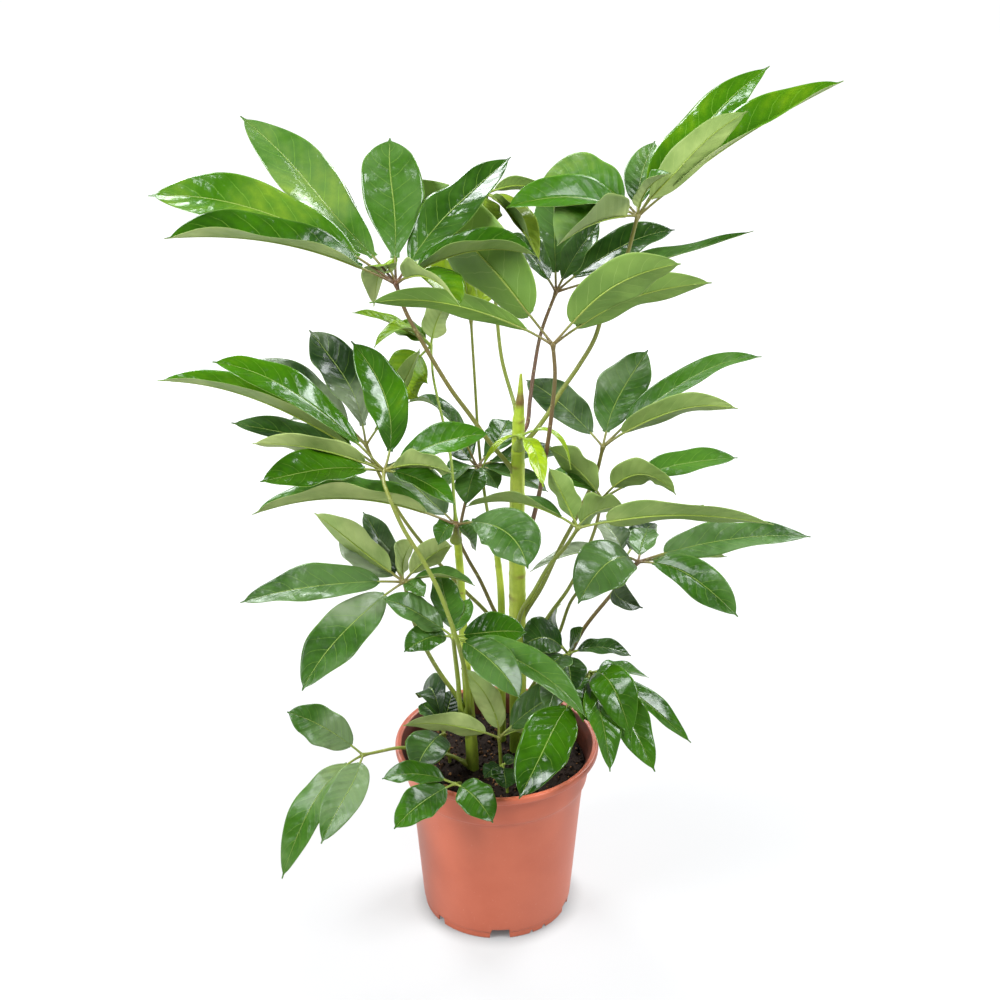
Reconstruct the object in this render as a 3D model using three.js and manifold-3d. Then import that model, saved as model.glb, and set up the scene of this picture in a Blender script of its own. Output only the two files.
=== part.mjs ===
import * as THREE from "three";
import { mergeVertices } from "three/addons/utils/BufferGeometryUtils.js";
import Module from "manifold-3d";

// A potted umbrella plant: a moulded pot, its soil, three stems, and their compound leaves.
// Millimetres, +Z up, +X to the viewer's right, -Y towards the viewer.
// The origin is the middle of the pot's underside, at the floor.

const wasm = await Module();
wasm.setup();

// Pot
const potHeight = 225;
const rimRadius = 120;
const lipWidth = 8;
const lipHeight = 9;
const collarRadius = 108.5;
const collarHeight = 35; // from the lip down to the chamfer
const bodyTopRadius = 102.3;
const footRadius = 87.3;
const potWall = 1.8;
const floorHeight = 14; // underside of the raised floor
const restPadRadius = 18;
// Notches round the foot: degrees from the front, width, height
const drains = [
  [2.5, 22, 13.5], [28.5, 3.5, 4.5], [40.5, 3.5, 4.5], [71, 18, 11], [121.5, 22, 13.5],
  [182.5, 22, 13.5], [218.5, 22, 13.5], [263, 18, 11], [310.3, 11, 9.5],
];

// Soil
const soilHeight = 197; // mean height of its surface above the floor
const soilRelief = 2.2;
const clearance = 0.3; // between pieces that touch
const rootDepth = 25; // how far a seedling's stalk stands in the soil

// Leaves
const bladeThickness = 1.9; // at the midrib, narrowing to the edges
const petioluleRadius = 1.3;
const petiolule = 0.15; // a leaflet's own stalk, as a share of its midrib
const stations = [petiolule, 0.24, 0.42, 0.62, 0.82, 0.94];
const hubRadius = 3.4;
const defaultPetiole = 2.3; // radius

// The plant is laid out as it is seen from the front. A pixel of that 1000 x 1000 view is a
// sight line from this eye, and a depth in mm behind the pot's axis fixes the point on it.
const view = { focal: 2200, middle: 500, side: 3.7, distance: 2162, height: 1695, pitch: 27.98 };
const pitch = THREE.MathUtils.degToRad(view.pitch);
const eye = new THREE.Vector3(view.side, -view.distance, view.height);
const ahead = new THREE.Vector3(0, Math.cos(pitch), -Math.sin(pitch));
const upward = new THREE.Vector3(0, Math.sin(pitch), Math.cos(pitch));
const rightward = new THREE.Vector3(1, 0, 0);
const worldUp = new THREE.Vector3(0, 0, 1);

function sightLine(x, y) {
  return ahead
    .clone()
    .addScaledVector(rightward, (x - view.middle) / view.focal)
    .addScaledVector(upward, (view.middle - y) / view.focal);
}

// The point seen at pixel x, y whose Y is depth.
function at(x, y, depth) {
  const ray = sightLine(x, y);
  return eye.clone().addScaledVector(ray, (depth - eye.y) / ray.y);
}

// The point seen at pixel x, y that lies nearer the eye than another point by lean.
function nearer(x, y, point, lean) {
  const range = point.clone().sub(eye).dot(ahead) - lean;
  return eye.clone().addScaledVector(sightLine(x, y), range);
}

// Stems: [x, y, z, radius] of points up each stem's axis.
const stems = {
  stem_main: [
    [25, 20, 150, 9.9],
    [25, 18, 240, 9.9],
    [24, 12, 400, 9.6],
    [23.2, 10, 480, 9],
    [22.8, 10, 550, 8.2],
    [23.6, 10, 600, 7.4],
    [24, 10, 640, 6.6],
    [25.4, 10, 662, 4.4],
    [26.4, 10, 696, 1.4],
  ],
  stem_left: [
    [-28, -15, 150, 7.6],
    [-29.2, -16.5, 215, 7.4],
    [-33, -18, 300, 5.9],
    [-38, -30, 400, 4.9],
    [-40.5, -45, 480, 4.4],
    [-44.2, -60, 546, 3.9],
  ],
  stem_back: [
    [6, 42, 150, 5.2],
    [5.5, 42, 240, 5],
    [5, 41, 400, 4.2],
    [0, 38, 460, 3.5],
    [-3, 36, 502, 2.8],
  ],
};

// Compound leaves. The stalk follows the route in pixels from its stem to the hub, while its
// depth runs evenly between the two depths given, in mm, unless a point states its own. Each
// leaflet springs from the hub:
// [tip x, tip y, lean, width, roll, fold, arch, bow, belly]. Lean brings the tip nearer the eye,
// roll turns the upper face from level towards the eye and fold lifts both halves like a keel, in
// degrees. Arch raises the middle of the midrib and bow moves it to the right, in mm, and belly
// is the share of the blade's length at which it is widest.
const fronds = {
  frond_top_left: {
    depths: [10, -30],
    route: [
      [517, 475], [503, 458], [490, 443], [470, 415],
      [450, 388], [420, 338], [405, 310], [396, 284],
    ],
    leaflets: [
      [148, 196, 10, 66, 32, 12, 28, 0, 0.56],
      [164, 239, 62, 68, 4, 40, 20, 0, 0.55],
      [240, 116, -50, 66, 18, 12, 2, 4, 0.56],
      [390, 138, -45, 68, 0, 10, 8, 0, 0.6],
      [511, 157, -25, 54, 20, 12, 6, -6, 0.5],
      [537, 256, 20, 58, -3, 40, 20, 0, 0.5],
      [461, 307, 75, 58, -22, 30, 20, 0, 0.5],
      [374, 307, -40, 42, 0, 12, 34, -2, 0.5],
    ],
  },
  frond_top_right: {
    depths: [10, 50],
    route: [
      [519, 446], [530, 437], [547, 415], [560, 393], [578, 367], [594, 340],
      [604, 310], [618, 280], [628, 252], [636, 222], [638, 216],
    ],
    leaflets: [
      [506, 208, 48, 54, 22, 26, 16, 0, 0.46],
      [538, 188, -60, 56, 34, 15, 26, 0, 0.5],
      [557, 246, 60, 88, -14, 44, 10, 0, 0.5],
      [655, 141, -70, 38, 0, 12, 0, -6, 0.5],
      [671, 173, 44, 34, 10, 30, 6, -8, 0.5],
      [770, 66, -50, 58, 10, 12, 4, -10, 0.42],
      [844, 81, 0, 60, 4, 36, 12, 0, 0.5],
      [748, 111, 40, 38, -95, 10, 4, -8, 0.5],
    ],
  },
  frond_centre: {
    depths: [8, -60],
    route: [[520, 560], [530, 530], [540, 490], [545, 460], [549, 435], [552, 410], [555, 375], [553, 345]],
    leaflets: [
      [400, 178, -66, 88, -95, 14, 10, 0, 0.42],
      [369, 303, 40, 34, -70, 12, 20, 0, 0.5],
      [681, 264, 50, 56, -72, 10, 22, 0, 0.42],
      [712, 283, 0, 44, -72, 14, 18, 0, 0.42],
    ],
  },
  frond_crown: {
    depths: [10, 90],
    stalk: 1.9,
    route: [[518, 415], [512, 396], [502, 360], [497, 318], [492, 255], [486, 194]],
    leaflets: [
      [546, 191, 5, 24, -60, 15, 8],
      [530, 240, 30, 32, -60, 15, 8],
      [540, 262, 0, 38, 0, 20, 18],
      [479, 229, 10, 44, 30, 12, 4],
    ],
  },
  frond_upper_back: {
    depths: [10, 115],
    stalk: 2.1,
    route: [[518, 437], [527, 425], [530, 400], [534, 370], [541, 333], [556, 292]],
    leaflets: [
      [754, 231, 0, 38, -4, 20, 0, 0, 0.34],
      [675, 230, -20, 46, 25, 15, 14],
      [600, 222, 20, 44, 10, 10, 6],
      [553, 176, -50, 50, 0, 10, 4],
      [505, 236, 0, 44, 10, 20, 10],
    ],
  },
  frond_upper_left_back: {
    depths: [36, 120],
    stalk: 1.7,
    route: [[494, 545], [489, 520], [484, 490], [479, 447], [475, 384], [471, 321]],
    leaflets: [
      [408, 246, -20, 46, 10, 15, 8],
      [455, 232, -60, 50, 0, 15, 4],
      [512, 262, -20, 44, 0, 15, 10],
    ],
  },
  frond_young: {
    depths: [-60, 76],
    stalk: 1.5,
    route: [[456, 524.7], [454, 500], [451, 460], [445, 430], [438, 400], [433, 375], [431, 346]],
    leaflets: [
      [352, 313, 20, 24, 0, 20, 8, 0, 0.5],
      [374, 348, 40, 26, 0, 20, 22, 0, 0.4],
      [418, 398, -15, 56, 24, 10, -4, -18, 0.42],
      [450, 298, -10, 42, -105, 8, 2, -4, 0.45],
      [392, 330, 0, 34, 10, 15, 6],
    ],
  },
  frond_left: {
    depths: [-20, -60],
    route: [
      [468, 712, -20], [468, 695, -48], [466, 678, -78], [462, 658, -106], [456, 637, -122],
      [438, 589, -122], [422, 559, -118], [403, 528, -118], [390, 499, -113], [384, 483, -90],
      [384, 471, -60],
    ],
    leaflets: [
      [157, 381, 0, 54, -6, 42, 26, 0, 0.46],
      [212, 362, 30, 44, 20, 16, 26, 0, 0.5],
      [351, 341, 0, 48, 10, 12, 0, 22, 0.56],
      [231, 423, 20, 42, 12, 15, 10],
      [252, 444, 50, 42, -52, 14, 10, 0, 0.45],
      [260, 482, 72, 54, 18, 14, 8],
      [453, 474, 45, 44, -60, 12, 10, 0, 0.6],
      [489, 434, 10, 44, 22, 14, 10],
      [455, 505, 45, 34, 10, 15, 10],
    ],
  },
  frond_left_back: {
    depths: [38, 62],
    stalk: 2,
    route: [[503, 637], [487, 613], [462, 588], [425, 547], [399, 512], [381, 478], [366, 445]],
    leaflets: [
      [309, 330, -30, 54, 10, 14, 4, 12, 0.6],
      [243, 363, -30, 54, 0, 20, 18],
      [420, 349, 100, 42, -10, 20, 4, 6, 0.6],
      [290, 420, 30, 46, 0, 20, 12],
    ],
  },
  frond_inner: {
    depths: [38, 60],
    stalk: 2,
    route: [[501, 622], [495, 612], [480, 580], [467, 557], [460, 540], [466, 500], [477, 467]],
    leaflets: [
      [408, 403, 0, 34, -8, 25, 30],
      [450, 430, -10, 48, 5, 14, 4, -6, 0.5],
      [509, 420, -50, 38, 5, 14, 6, 6, 0.6],
      [444, 488, 20, 40, -10, 15, 10],
      [466, 505, 35, 38, 0, 15, 8],
      [498, 489, 0, 42, 5, 15, 6],
      [566, 455, -40, 40, 5, 14, 8, 0, 0.6],
      [548, 492, -12, 44, 0, 14, 6, 0, 0.6],
    ],
  },
  frond_right: {
    depths: [12, 0],
    route: [[519, 628], [526, 612], [541, 588], [559, 550], [575, 520], [586, 497], [595, 478], [603, 447]],
    leaflets: [
      [526, 380, -60, 46, 20, 14, 8],
      [648, 350, -30, 58, 10, 12, 0, -8, 0.56],
      [762, 357, 10, 38, 12, 18, 24, 0, 0.4],
      [738, 409, 50, 42, -56, 16, 20, 0, 0.4],
    ],
  },
  frond_right_middle: {
    depths: [12, -20],
    stalk: 2,
    route: [[519, 668], [548, 617], [570, 586], [594, 532], [602, 499]],
    leaflets: [
      [738, 458, 10, 38, 20, 14, 14, 0, 0.6],
      [676, 495, 50, 44, -60, 12, 28, 0, 0.45],
      [548, 447, 0, 46, -70, 12, 2, 6],
      [704, 505, -30, 20, 0, 16, -12],
      [552, 471, -26, 38, 0, 14, 6, 0, 0.6],
    ],
  },
  frond_centre_right: {
    depths: [12, -70],
    route: [[518, 640], [520, 615], [535, 590], [549, 566], [566, 546], [578, 528]],
    leaflets: [
      [774, 525, 40, 46, -58, 12, 14, 0, 0.3],
      [549, 468, 8, 44, -80, 12, 2],
      [624, 505, -22, 56, -66, 12, 4, -10, 0.42],
      [466, 507, -25, 46, -22, 25, 18],
    ],
  },
  frond_lower_right: {
    depths: [14, -35],
    route: [[518, 722], [555, 677], [570, 654], [585, 627], [610, 596], [638, 562]],
    leaflets: [
      [811, 537, 0, 44, 25, 18, 12, 0, 0.36],
      [738, 617, 50, 46, 30, 20, 18, 0, 0.58],
      [578, 604, 60, 64, 22, 10, 26],
      [648, 528, -50, 34, 0, 15, 5],
      [727, 557, -30, 28, -50, 12, 4],
      [643, 608, -25, 42, 0, 15, -6, -30],
    ],
  },
  frond_lower_right_back: {
    depths: [16, 95],
    stalk: 1.9,
    route: [[520, 705], [548, 660], [560, 631], [573, 598], [600, 572], [626, 557]],
    leaflets: [
      [600, 520, -30, 40, 0, 15, 6],
      [655, 523, -40, 36, 0, 15, 6],
      [530, 572, 0, 28, 0, 25, 16],
    ],
  },
  frond_middle: {
    depths: [-60, -75],
    stalk: 3,
    route: [[456, 540], [456, 525]],
    leaflets: [
      [252, 515, 30, 62, -10, 44, 26, 0, 0.46],
      [528, 569, 60, 62, 25, 12, 22, 10, 0.6],
      [386, 464, -30, 56, 20, 20, 4],
      [438, 545, 0, 34, 0, 15, 8],
      [476, 551, -14, 42, 5, 15, 6],
    ],
  },
  frond_lower_left: {
    depths: [-18, -60],
    route: [[467, 715], [455, 694], [440, 673], [425, 647], [413, 619], [406, 590], [404, 582]],
    leaflets: [
      [240, 603, 20, 50, 25, 20, 9, 0, 0.46],
      [302, 691, 65, 56, 25, 12, 8, -8, 0.5],
      [314, 513, -20, 48, -78, 16, 0, 0, 0.45],
      [363, 512, -60, 32, 10, 20, 0],
      [413, 540, -20, 44, -100, 10, 0, -6, 0.55],
      [338, 538, -50, 48, 20, 15, 0, 0, 0.45],
      [452, 546, 0, 38, -84, 14, 8],
      [475, 586, 20, 32, -10, 25, 10],
      [424, 597, 30, 24, 10, 15, 4],
    ],
  },
  frond_low_front: {
    depths: [-17, -105],
    stalk: 2.6,
    route: [[470, 735], [461, 712], [458, 680], [455, 655], [453, 637]],
    leaflets: [
      [520, 699, 65, 46, 25, 16, 10, 4, 0.5],
      [586, 717, 40, 42, 14, 26, 18, 4, 0.45],
      [383, 599, 20, 40, 25, 12, 6],
      [527, 633, 0, 44, 30, 14, 4],
      [404, 652, 25, 38, 20, 18, 8],
      [440, 572, -30, 38, 10, 15, 0],
      [470, 598, -20, 24, 0, 12, 0],
    ],
  },
  frond_low_back: {
    depths: [10, -32],
    stalk: 2,
    route: [[521, 740], [545, 700], [553, 678], [560, 667], [568, 654]],
    leaflets: [
      [631, 656, 0, 28, 10, 15, 10],
      [583, 627, 14, 28, 0, 12, 2],
      [523, 646, 24, 52, 24, 12, 16],
      [540, 682, 50, 44, 0, 12, 8],
      [571, 694, 34, 38, 0, 12, 6],
      [548, 714, 16, 38, 0, 12, 4],
      [561, 604, -66, 28, -60, 14, 6, -14, 0.5],
    ],
  },
  frond_low_right: {
    depths: [12, -30],
    stalk: 2.1,
    root: [58, 12],
    route: [[568, 712], [578, 688], [590, 673]],
    leaflets: [
      [631, 737, 50, 48, 20, 12, 28],
      [610, 772, 75, 44, 25, 10, 14],
      [655, 772, 35, 46, 20, 12, 18],
      [691, 743, 0, 34, 10, 20, 12],
      [649, 678, -40, 32, 5, 14, 8],
      [583, 722, 60, 30, 0, 12, 6],
    ],
  },
  frond_over_rim: {
    depths: [20, -62],
    stalk: 2.1,
    root: [45, 20],
    route: [[562, 722], [571, 706], [573, 697]],
    leaflets: [
      [519, 799, 66, 62, 12, 10, 14, 4, 0.52],
      [590, 722, 10, 30, 0, 15, 6],
    ],
  },
  seedling_centre: {
    depths: [-37, -40],
    stalk: 1.9,
    root: [5, -35],
    route: [[500, 750], [499, 738]],
    leaflets: [
      [403, 726, 36, 34, -75, 12, 10, 0, 0.42],
      [461, 668, 36, 30, -112, 10, 0, 12, 0.45],
      [532, 732, 0, 18, -60, 12, 6],
      [581, 682, 34, 57, 20, 12, 8],
    ],
  },
  seedling_front: {
    depths: [-60, -102],
    stalk: 1.8,
    root: [-41, -60],
    route: [[455, 784]],
    leaflets: [
      [382, 779, 0, 32, 20, 20, 10],
      [394, 829, 45, 42, 25, 10, 8],
      [493, 823, 38, 42, 25, 10, 10],
    ],
  },
  seedling_left: {
    depths: [-4, -10],
    stalk: 1.8,
    root: [-56, -4],
    route: [[444, 734]],
    leaflets: [
      [416, 772, 45, 52, 10, 10, 12],
      [421, 704, -10, 36, 0, 15, 8],
      [423, 697, -40, 40, 20, 20, 34, 0, 0.6],
      [452, 690, -30, 36, 0, 12, 4],
    ],
  },
  seedling_back: {
    depths: [-66, -70],
    stalk: 1.6,
    root: [12, -64],
    route: [[503, 766]],
    leaflets: [
      [484, 778, 10, 26, 0, 10, 4],
      [506, 789, 20, 34, 10, 10, 4],
      [517, 760, -8, 22, 0, 12, 4],
    ],
  },
  frond_beside_pot: {
    depths: [-17, -42],
    stalk: 2,
    route: [[468, 764], [449, 755], [416, 748], [397, 748], [377, 752], [363, 755]],
    leaflets: [
      [287, 712, -10, 46, 50, 10, 8, 0, 0.46],
      [282, 879, 20, 44, 10, 12, 26, -6, 0.55],
      [321, 844, 50, 46, 10, 12, 14, 8, 0.5],
    ],
  },
  young_leaves: {
    depths: [8, -4],
    stalk: 3,
    route: [[518, 447], [520, 437]],
    leaflets: [
      [482, 468, 20, 8, 0, 10, 14],
      [571, 470, 10, 9, 0, 10, 26, 8],
      [543, 487, 34, 22, 0, 10, 14, 3],
    ],
  },
};

const materials = {
  terracotta: new THREE.MeshStandardMaterial({ color: 0xcb7560, roughness: 0.42, metalness: 0 }),
  soil: new THREE.MeshStandardMaterial({ color: 0x2b1a12, roughness: 0.95, metalness: 0 }),
  bark: new THREE.MeshStandardMaterial({ color: 0x9cad38, roughness: 0.5, metalness: 0 }),
  leaf: new THREE.MeshStandardMaterial({ color: 0x3f7d1e, roughness: 0.3, metalness: 0 }),
  youngLeaf: new THREE.MeshStandardMaterial({ color: 0xa6c61e, roughness: 0.35, metalness: 0 }),
};

// A closed three.js geometry as a solid that can be joined and cut.
function solidOf(geometry) {
  const bare = geometry.clone();
  bare.deleteAttribute("normal");
  bare.deleteAttribute("uv");
  const merged = mergeVertices(bare, 1e-4);
  const source = new wasm.Mesh({
    numProp: 3,
    vertProperties: merged.attributes.position.array,
    triVerts: new Uint32Array(merged.index.array),
  });
  return new wasm.Manifold(source);
}

function meshOf(name, solid, material) {
  const cut = solid.getMesh();
  const geometry = new THREE.BufferGeometry();
  geometry.setAttribute("position", new THREE.BufferAttribute(cut.vertProperties, 3));
  geometry.setIndex(new THREE.BufferAttribute(cut.triVerts, 1));
  geometry.computeVertexNormals();
  const mesh = new THREE.Mesh(geometry, material);
  mesh.name = name;
  return mesh;
}

// A closed skin over rings of equally many points, each ring turning anticlockwise about the
// way from start to end, with the two end points as its tips.
function loft(start, rings, end) {
  const count = rings[0].length;
  const points = [start, ...rings.flat(), end];
  const index = [];
  const last = points.length - 1;
  for (let k = 0; k < count; k++) {
    const next = (k + 1) % count;
    index.push(0, 1 + next, 1 + k);
    for (let r = 0; r + 1 < rings.length; r++) {
      const low = 1 + r * count;
      const high = low + count;
      index.push(low + k, low + next, high + next);
      index.push(low + k, high + next, high + k);
    }
    index.push(last, last - count + k, last - count + next);
  }
  const geometry = new THREE.BufferGeometry().setFromPoints(points);
  geometry.setIndex(index);
  return solidOf(geometry);
}

// A round rod along a curve, its radius a function of the share of the way.
function rod(curve, radiusAt, sides, steps) {
  const frames = curve.computeFrenetFrames(steps, false);
  const rings = [];
  for (let i = 0; i <= steps; i++) {
    const middle = curve.getPointAt(i / steps);
    const radius = radiusAt(i / steps);
    const ring = [];
    for (let k = 0; k < sides; k++) {
      const angle = (2 * Math.PI * k) / sides;
      const point = middle.clone();
      point.addScaledVector(frames.normals[i], radius * Math.cos(angle));
      point.addScaledVector(frames.binormals[i], radius * Math.sin(angle));
      ring.push(point);
    }
    rings.push(ring);
  }
  return loft(curve.getPointAt(0), rings, curve.getPointAt(1));
}

// The half width of a blade, as a share of its widest, at a share of its length from the base:
// a rounded oval that is widest at the belly and a little drawn in towards the tip.
function bladeShare(share, belly) {
  const shifted = share ** (Math.log(0.5) / Math.log(belly));
  return (4 * shifted * (1 - shifted)) ** 0.62 * (1 - 0.35 * share ** 6);
}

// One leaflet: a narrow stalk that widens into a blade, on an arched midrib from hub to tip.
function leaflet(hub, tip, width, roll, fold, arch, bow = 0, belly = 0.5) {
  const along = tip.clone().sub(hub).normalize();
  const level = worldUp.clone().addScaledVector(along, -worldUp.dot(along)).normalize();
  const across = along.clone().cross(level);
  const towardEye = ahead.clone().multiplyScalar(-1).addScaledVector(rightward, 0.35);
  const side = Math.sign(across.dot(towardEye)) || 1;
  const face = level.clone().multiplyScalar(Math.cos(roll));
  face.addScaledVector(across, side * Math.sin(roll));
  const bend = hub.clone().add(tip).multiplyScalar(0.5);
  bend.addScaledVector(worldUp, 2 * arch).addScaledVector(rightward, 2 * bow);
  const midrib = new THREE.QuadraticBezierCurve3(hub, bend, tip);
  const rings = stations.map((share) => {
    const middle = midrib.getPoint(share);
    const tangent = midrib.getTangent(share);
    const normal = face.clone().addScaledVector(tangent, -face.dot(tangent)).normalize();
    const beside = tangent.clone().cross(normal);
    const onBlade = (share - petiolule) / (1 - petiolule);
    const half = Math.max(petioluleRadius, (width / 2) * bladeShare(onBlade, belly));
    const edge = (sign) =>
      middle
        .clone()
        .addScaledVector(beside, sign * half * Math.cos(fold))
        .addScaledVector(normal, half * Math.sin(fold));
    const top = middle.clone().addScaledVector(normal, bladeThickness / 2);
    const under = middle.clone().addScaledVector(normal, -bladeThickness / 2);
    return [top, edge(1), under, edge(-1)];
  });
  return loft(hub, rings, tip);
}

// A compound leaf: its stalk, the knot at the hub, and its leaflets, joined.
function frond({ depths, route, leaflets, root, stalk = defaultPetiole }, grow = 0) {
  const steps = root ? route.length : route.length - 1;
  const points = route.map(([x, y, depth], i) =>
    at(x, y, depth ?? THREE.MathUtils.lerp(depths[0], depths[1], (i + (root ? 1 : 0)) / steps)),
  );
  if (root) {
    points.unshift(new THREE.Vector3(...root, soilHeight + 5));
    points.unshift(new THREE.Vector3(...root, soilHeight - rootDepth - grow));
  }
  const path = new THREE.CatmullRomCurve3(points, false, "centripetal");
  const radiusAt = (share) => stalk * (1.25 - 0.35 * share) + grow;
  const hub = points[points.length - 1];
  let joined = rod(path, radiusAt, 6, Math.ceil(points.length * 0.7) + 3);
  const knot = new THREE.IcosahedronGeometry(Math.max(hubRadius, stalk * 1.2), 0);
  knot.translate(hub.x, hub.y, hub.z);
  joined = joined.add(solidOf(knot));
  for (const [x, y, lean, width, roll, fold, ...curve] of leaflets) {
    const tip = nearer(x, y, hub, lean);
    const toRadians = THREE.MathUtils.degToRad;
    joined = joined.add(leaflet(hub, tip, width, toRadians(roll), toRadians(fold), ...curve));
  }
  return joined;
}

function stemSolid(points, grow) {
  const curve = new THREE.CatmullRomCurve3(
    points.map(([x, y, z]) => new THREE.Vector3(x, y, z - grow)),
    false,
    "centripetal",
  );
  const radiusAt = (share) => {
    const place = share * (points.length - 1);
    const low = Math.min(Math.floor(place), points.length - 2);
    return THREE.MathUtils.lerp(points[low][3], points[low + 1][3], place - low) + grow;
  };
  return rod(curve, radiusAt, 9, 2 * (points.length - 1));
}

function pot() {
  const collarTop = potHeight - lipHeight;
  const collarFoot = collarTop - collarHeight;
  const chamferFoot = collarFoot - 5;
  const outline = [
    [0, 0],
    [restPadRadius, 0],
    [restPadRadius + 1, floorHeight],
    [footRadius - potWall, floorHeight],
    [footRadius - potWall, 0],
    [footRadius, 0],
    [footRadius + 0.5, 9],
    [footRadius + 1.9, 10],
    [bodyTopRadius, chamferFoot],
    [collarRadius - 0.6, collarFoot],
    [collarRadius + 0.5, collarTop],
    [rimRadius - 1.5, collarTop],
    [rimRadius, collarTop + 1.5],
    [rimRadius, potHeight - 2.6],
    [rimRadius - 1, potHeight - 0.7],
    [rimRadius - 3, potHeight],
    [rimRadius - lipWidth + 1.5, potHeight - 0.8],
    [rimRadius - lipWidth, potHeight - 2.8],
    [collarRadius - potWall, collarTop - 3],
    [collarRadius - potWall - 0.8, collarFoot + 1],
    [bodyTopRadius - potWall, chamferFoot - 1],
    [footRadius + 0.8 - potWall, floorHeight + 2],
    [0, floorHeight + 2],
  ];
  const shell = new THREE.LatheGeometry(
    outline.map(([r, z]) => new THREE.Vector2(r, z)),
    40,
  );
  shell.rotateX(Math.PI / 2);
  let body = solidOf(shell);
  for (const [degrees, width, height] of drains) {
    const angle = THREE.MathUtils.degToRad(degrees - 90);
    const notch = new THREE.BoxGeometry(12, width, 2 * height);
    notch.translate(footRadius, 0, 0);
    notch.rotateZ(angle);
    body = body.subtract(solidOf(notch));
  }
  return body;
}

function soil() {
  const wallInside = (z) => {
    const share = (z - floorHeight) / (potHeight - lipHeight - collarHeight - 5 - floorHeight);
    const low = footRadius + 0.8 - potWall;
    return THREE.MathUtils.lerp(low, bodyTopRadius - potWall, share) - 2 * clearance;
  };
  const shoulder = potHeight - lipHeight - collarHeight - 6;
  const collarInside = collarRadius - potWall - 1.6;
  const outline = [
    [0, floorHeight + 2 + clearance],
    [wallInside(floorHeight + 2) - 0.4, floorHeight + 2 + clearance],
    [wallInside(shoulder), shoulder],
    [collarInside - 0.6, shoulder + 9],
    [collarInside, soilHeight - 3],
    [collarInside - 6, soilHeight],
    [84, soilHeight],
    [62, soilHeight],
    [40, soilHeight],
    [20, soilHeight],
    [0, soilHeight],
  ];
  const lathe = new THREE.LatheGeometry(
    outline.map(([r, z]) => new THREE.Vector2(r, z)),
    36,
  );
  lathe.rotateX(Math.PI / 2);
  const place = lathe.attributes.position;
  for (let i = 0; i < place.count; i++) {
    const x = place.getX(i);
    const y = place.getY(i);
    const ripple = Math.sin(x * 0.11 + y * 0.05) + Math.sin(y * 0.13 - x * 0.04 + 1);
    if (place.getZ(i) > soilHeight - 1) place.setZ(i, soilHeight + (soilRelief * ripple) / 2);
  }
  return solidOf(lathe);
}

const plant = new THREE.Group();
plant.add(meshOf("pot", pot(), materials.terracotta));

let bed = soil();
let wood = null;
for (const [name, points] of Object.entries(stems)) {
  const cleared = stemSolid(points, clearance);
  bed = bed.subtract(cleared);
  wood = wood ? wood.add(cleared) : cleared;
  plant.add(meshOf(name, stemSolid(points, 0), materials.bark));
}
for (const [name, shape] of Object.entries(fronds)) {
  if (shape.root) bed = bed.subtract(frond({ ...shape, leaflets: [] }, clearance));
  const grown = frond(shape).subtract(wood);
  const material = name.includes("young") ? materials.youngLeaf : materials.leaf;
  plant.add(meshOf(name, grown, material));
}
plant.add(meshOf("soil", bed, materials.soil));

export default plant;
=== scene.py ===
import bpy
import numpy as np
from mathutils import Euler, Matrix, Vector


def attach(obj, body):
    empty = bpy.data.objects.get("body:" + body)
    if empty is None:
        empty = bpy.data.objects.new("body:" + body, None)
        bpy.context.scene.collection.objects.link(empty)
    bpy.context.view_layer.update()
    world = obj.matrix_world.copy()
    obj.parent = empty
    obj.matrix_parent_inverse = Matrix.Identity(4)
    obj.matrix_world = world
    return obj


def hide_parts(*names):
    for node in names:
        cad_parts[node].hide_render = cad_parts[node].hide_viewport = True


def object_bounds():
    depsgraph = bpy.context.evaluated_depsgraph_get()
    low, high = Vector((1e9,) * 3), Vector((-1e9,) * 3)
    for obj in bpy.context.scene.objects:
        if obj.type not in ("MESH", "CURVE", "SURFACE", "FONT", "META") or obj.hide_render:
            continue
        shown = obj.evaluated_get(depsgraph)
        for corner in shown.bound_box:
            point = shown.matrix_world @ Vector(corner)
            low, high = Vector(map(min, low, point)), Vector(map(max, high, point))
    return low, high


# A potted umbrella plant on a pale floor. Lengths in the tables are millimetres, but metres in
# the studio's. +Z is up, +X is the viewer's right and -Y is towards the viewer.

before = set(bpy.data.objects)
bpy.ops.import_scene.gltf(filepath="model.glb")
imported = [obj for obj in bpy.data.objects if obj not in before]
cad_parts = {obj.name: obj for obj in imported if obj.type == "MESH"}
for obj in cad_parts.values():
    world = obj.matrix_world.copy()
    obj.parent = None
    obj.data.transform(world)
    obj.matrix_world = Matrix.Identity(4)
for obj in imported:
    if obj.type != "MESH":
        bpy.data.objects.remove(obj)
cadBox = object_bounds()
print("frame loaded:", len(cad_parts), "nodes")

metre = 1000  # millimetres

# The view of the photograph. A pixel of its square frame is a sight line from this eye.
photoView = {
    "focal": 2200,  # pixels
    "frame": 1000,  # pixels across
    "eye": (3.7, -2162, 1695),
    "pitch": 27.98,  # degrees below level
    "sensor": 36,
    "farthest": 50,  # metres
}
pitch = np.radians(photoView["pitch"])
eye = np.array(photoView["eye"], float)
ahead = np.array([0, np.cos(pitch), -np.sin(pitch)])
upward = np.array([0, np.sin(pitch), np.cos(pitch)])
rightward = np.array([1.0, 0, 0])
worldUp = np.array([0, 0, 1.0])


# An object of a name and its data, linked to the scene.
def newObject(name, data):
    thing = bpy.data.objects.new(name, data)
    bpy.context.scene.collection.objects.link(thing)
    return thing


camera = newObject("camera", bpy.data.cameras.new("camera"))
camera.data.sensor_width = photoView["sensor"]
camera.data.lens = photoView["sensor"] * photoView["focal"] / photoView["frame"]
camera.data.clip_end = photoView["farthest"]
camera.location = eye / metre
camera.rotation_euler = Euler((np.pi / 2 - pitch, 0, 0))
bpy.context.scene.camera = camera
print("camera placed")


# Vectors over their own lengths.
def unit(vectors):
    return vectors / np.linalg.norm(vectors, axis=-1, keepdims=True)


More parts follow.
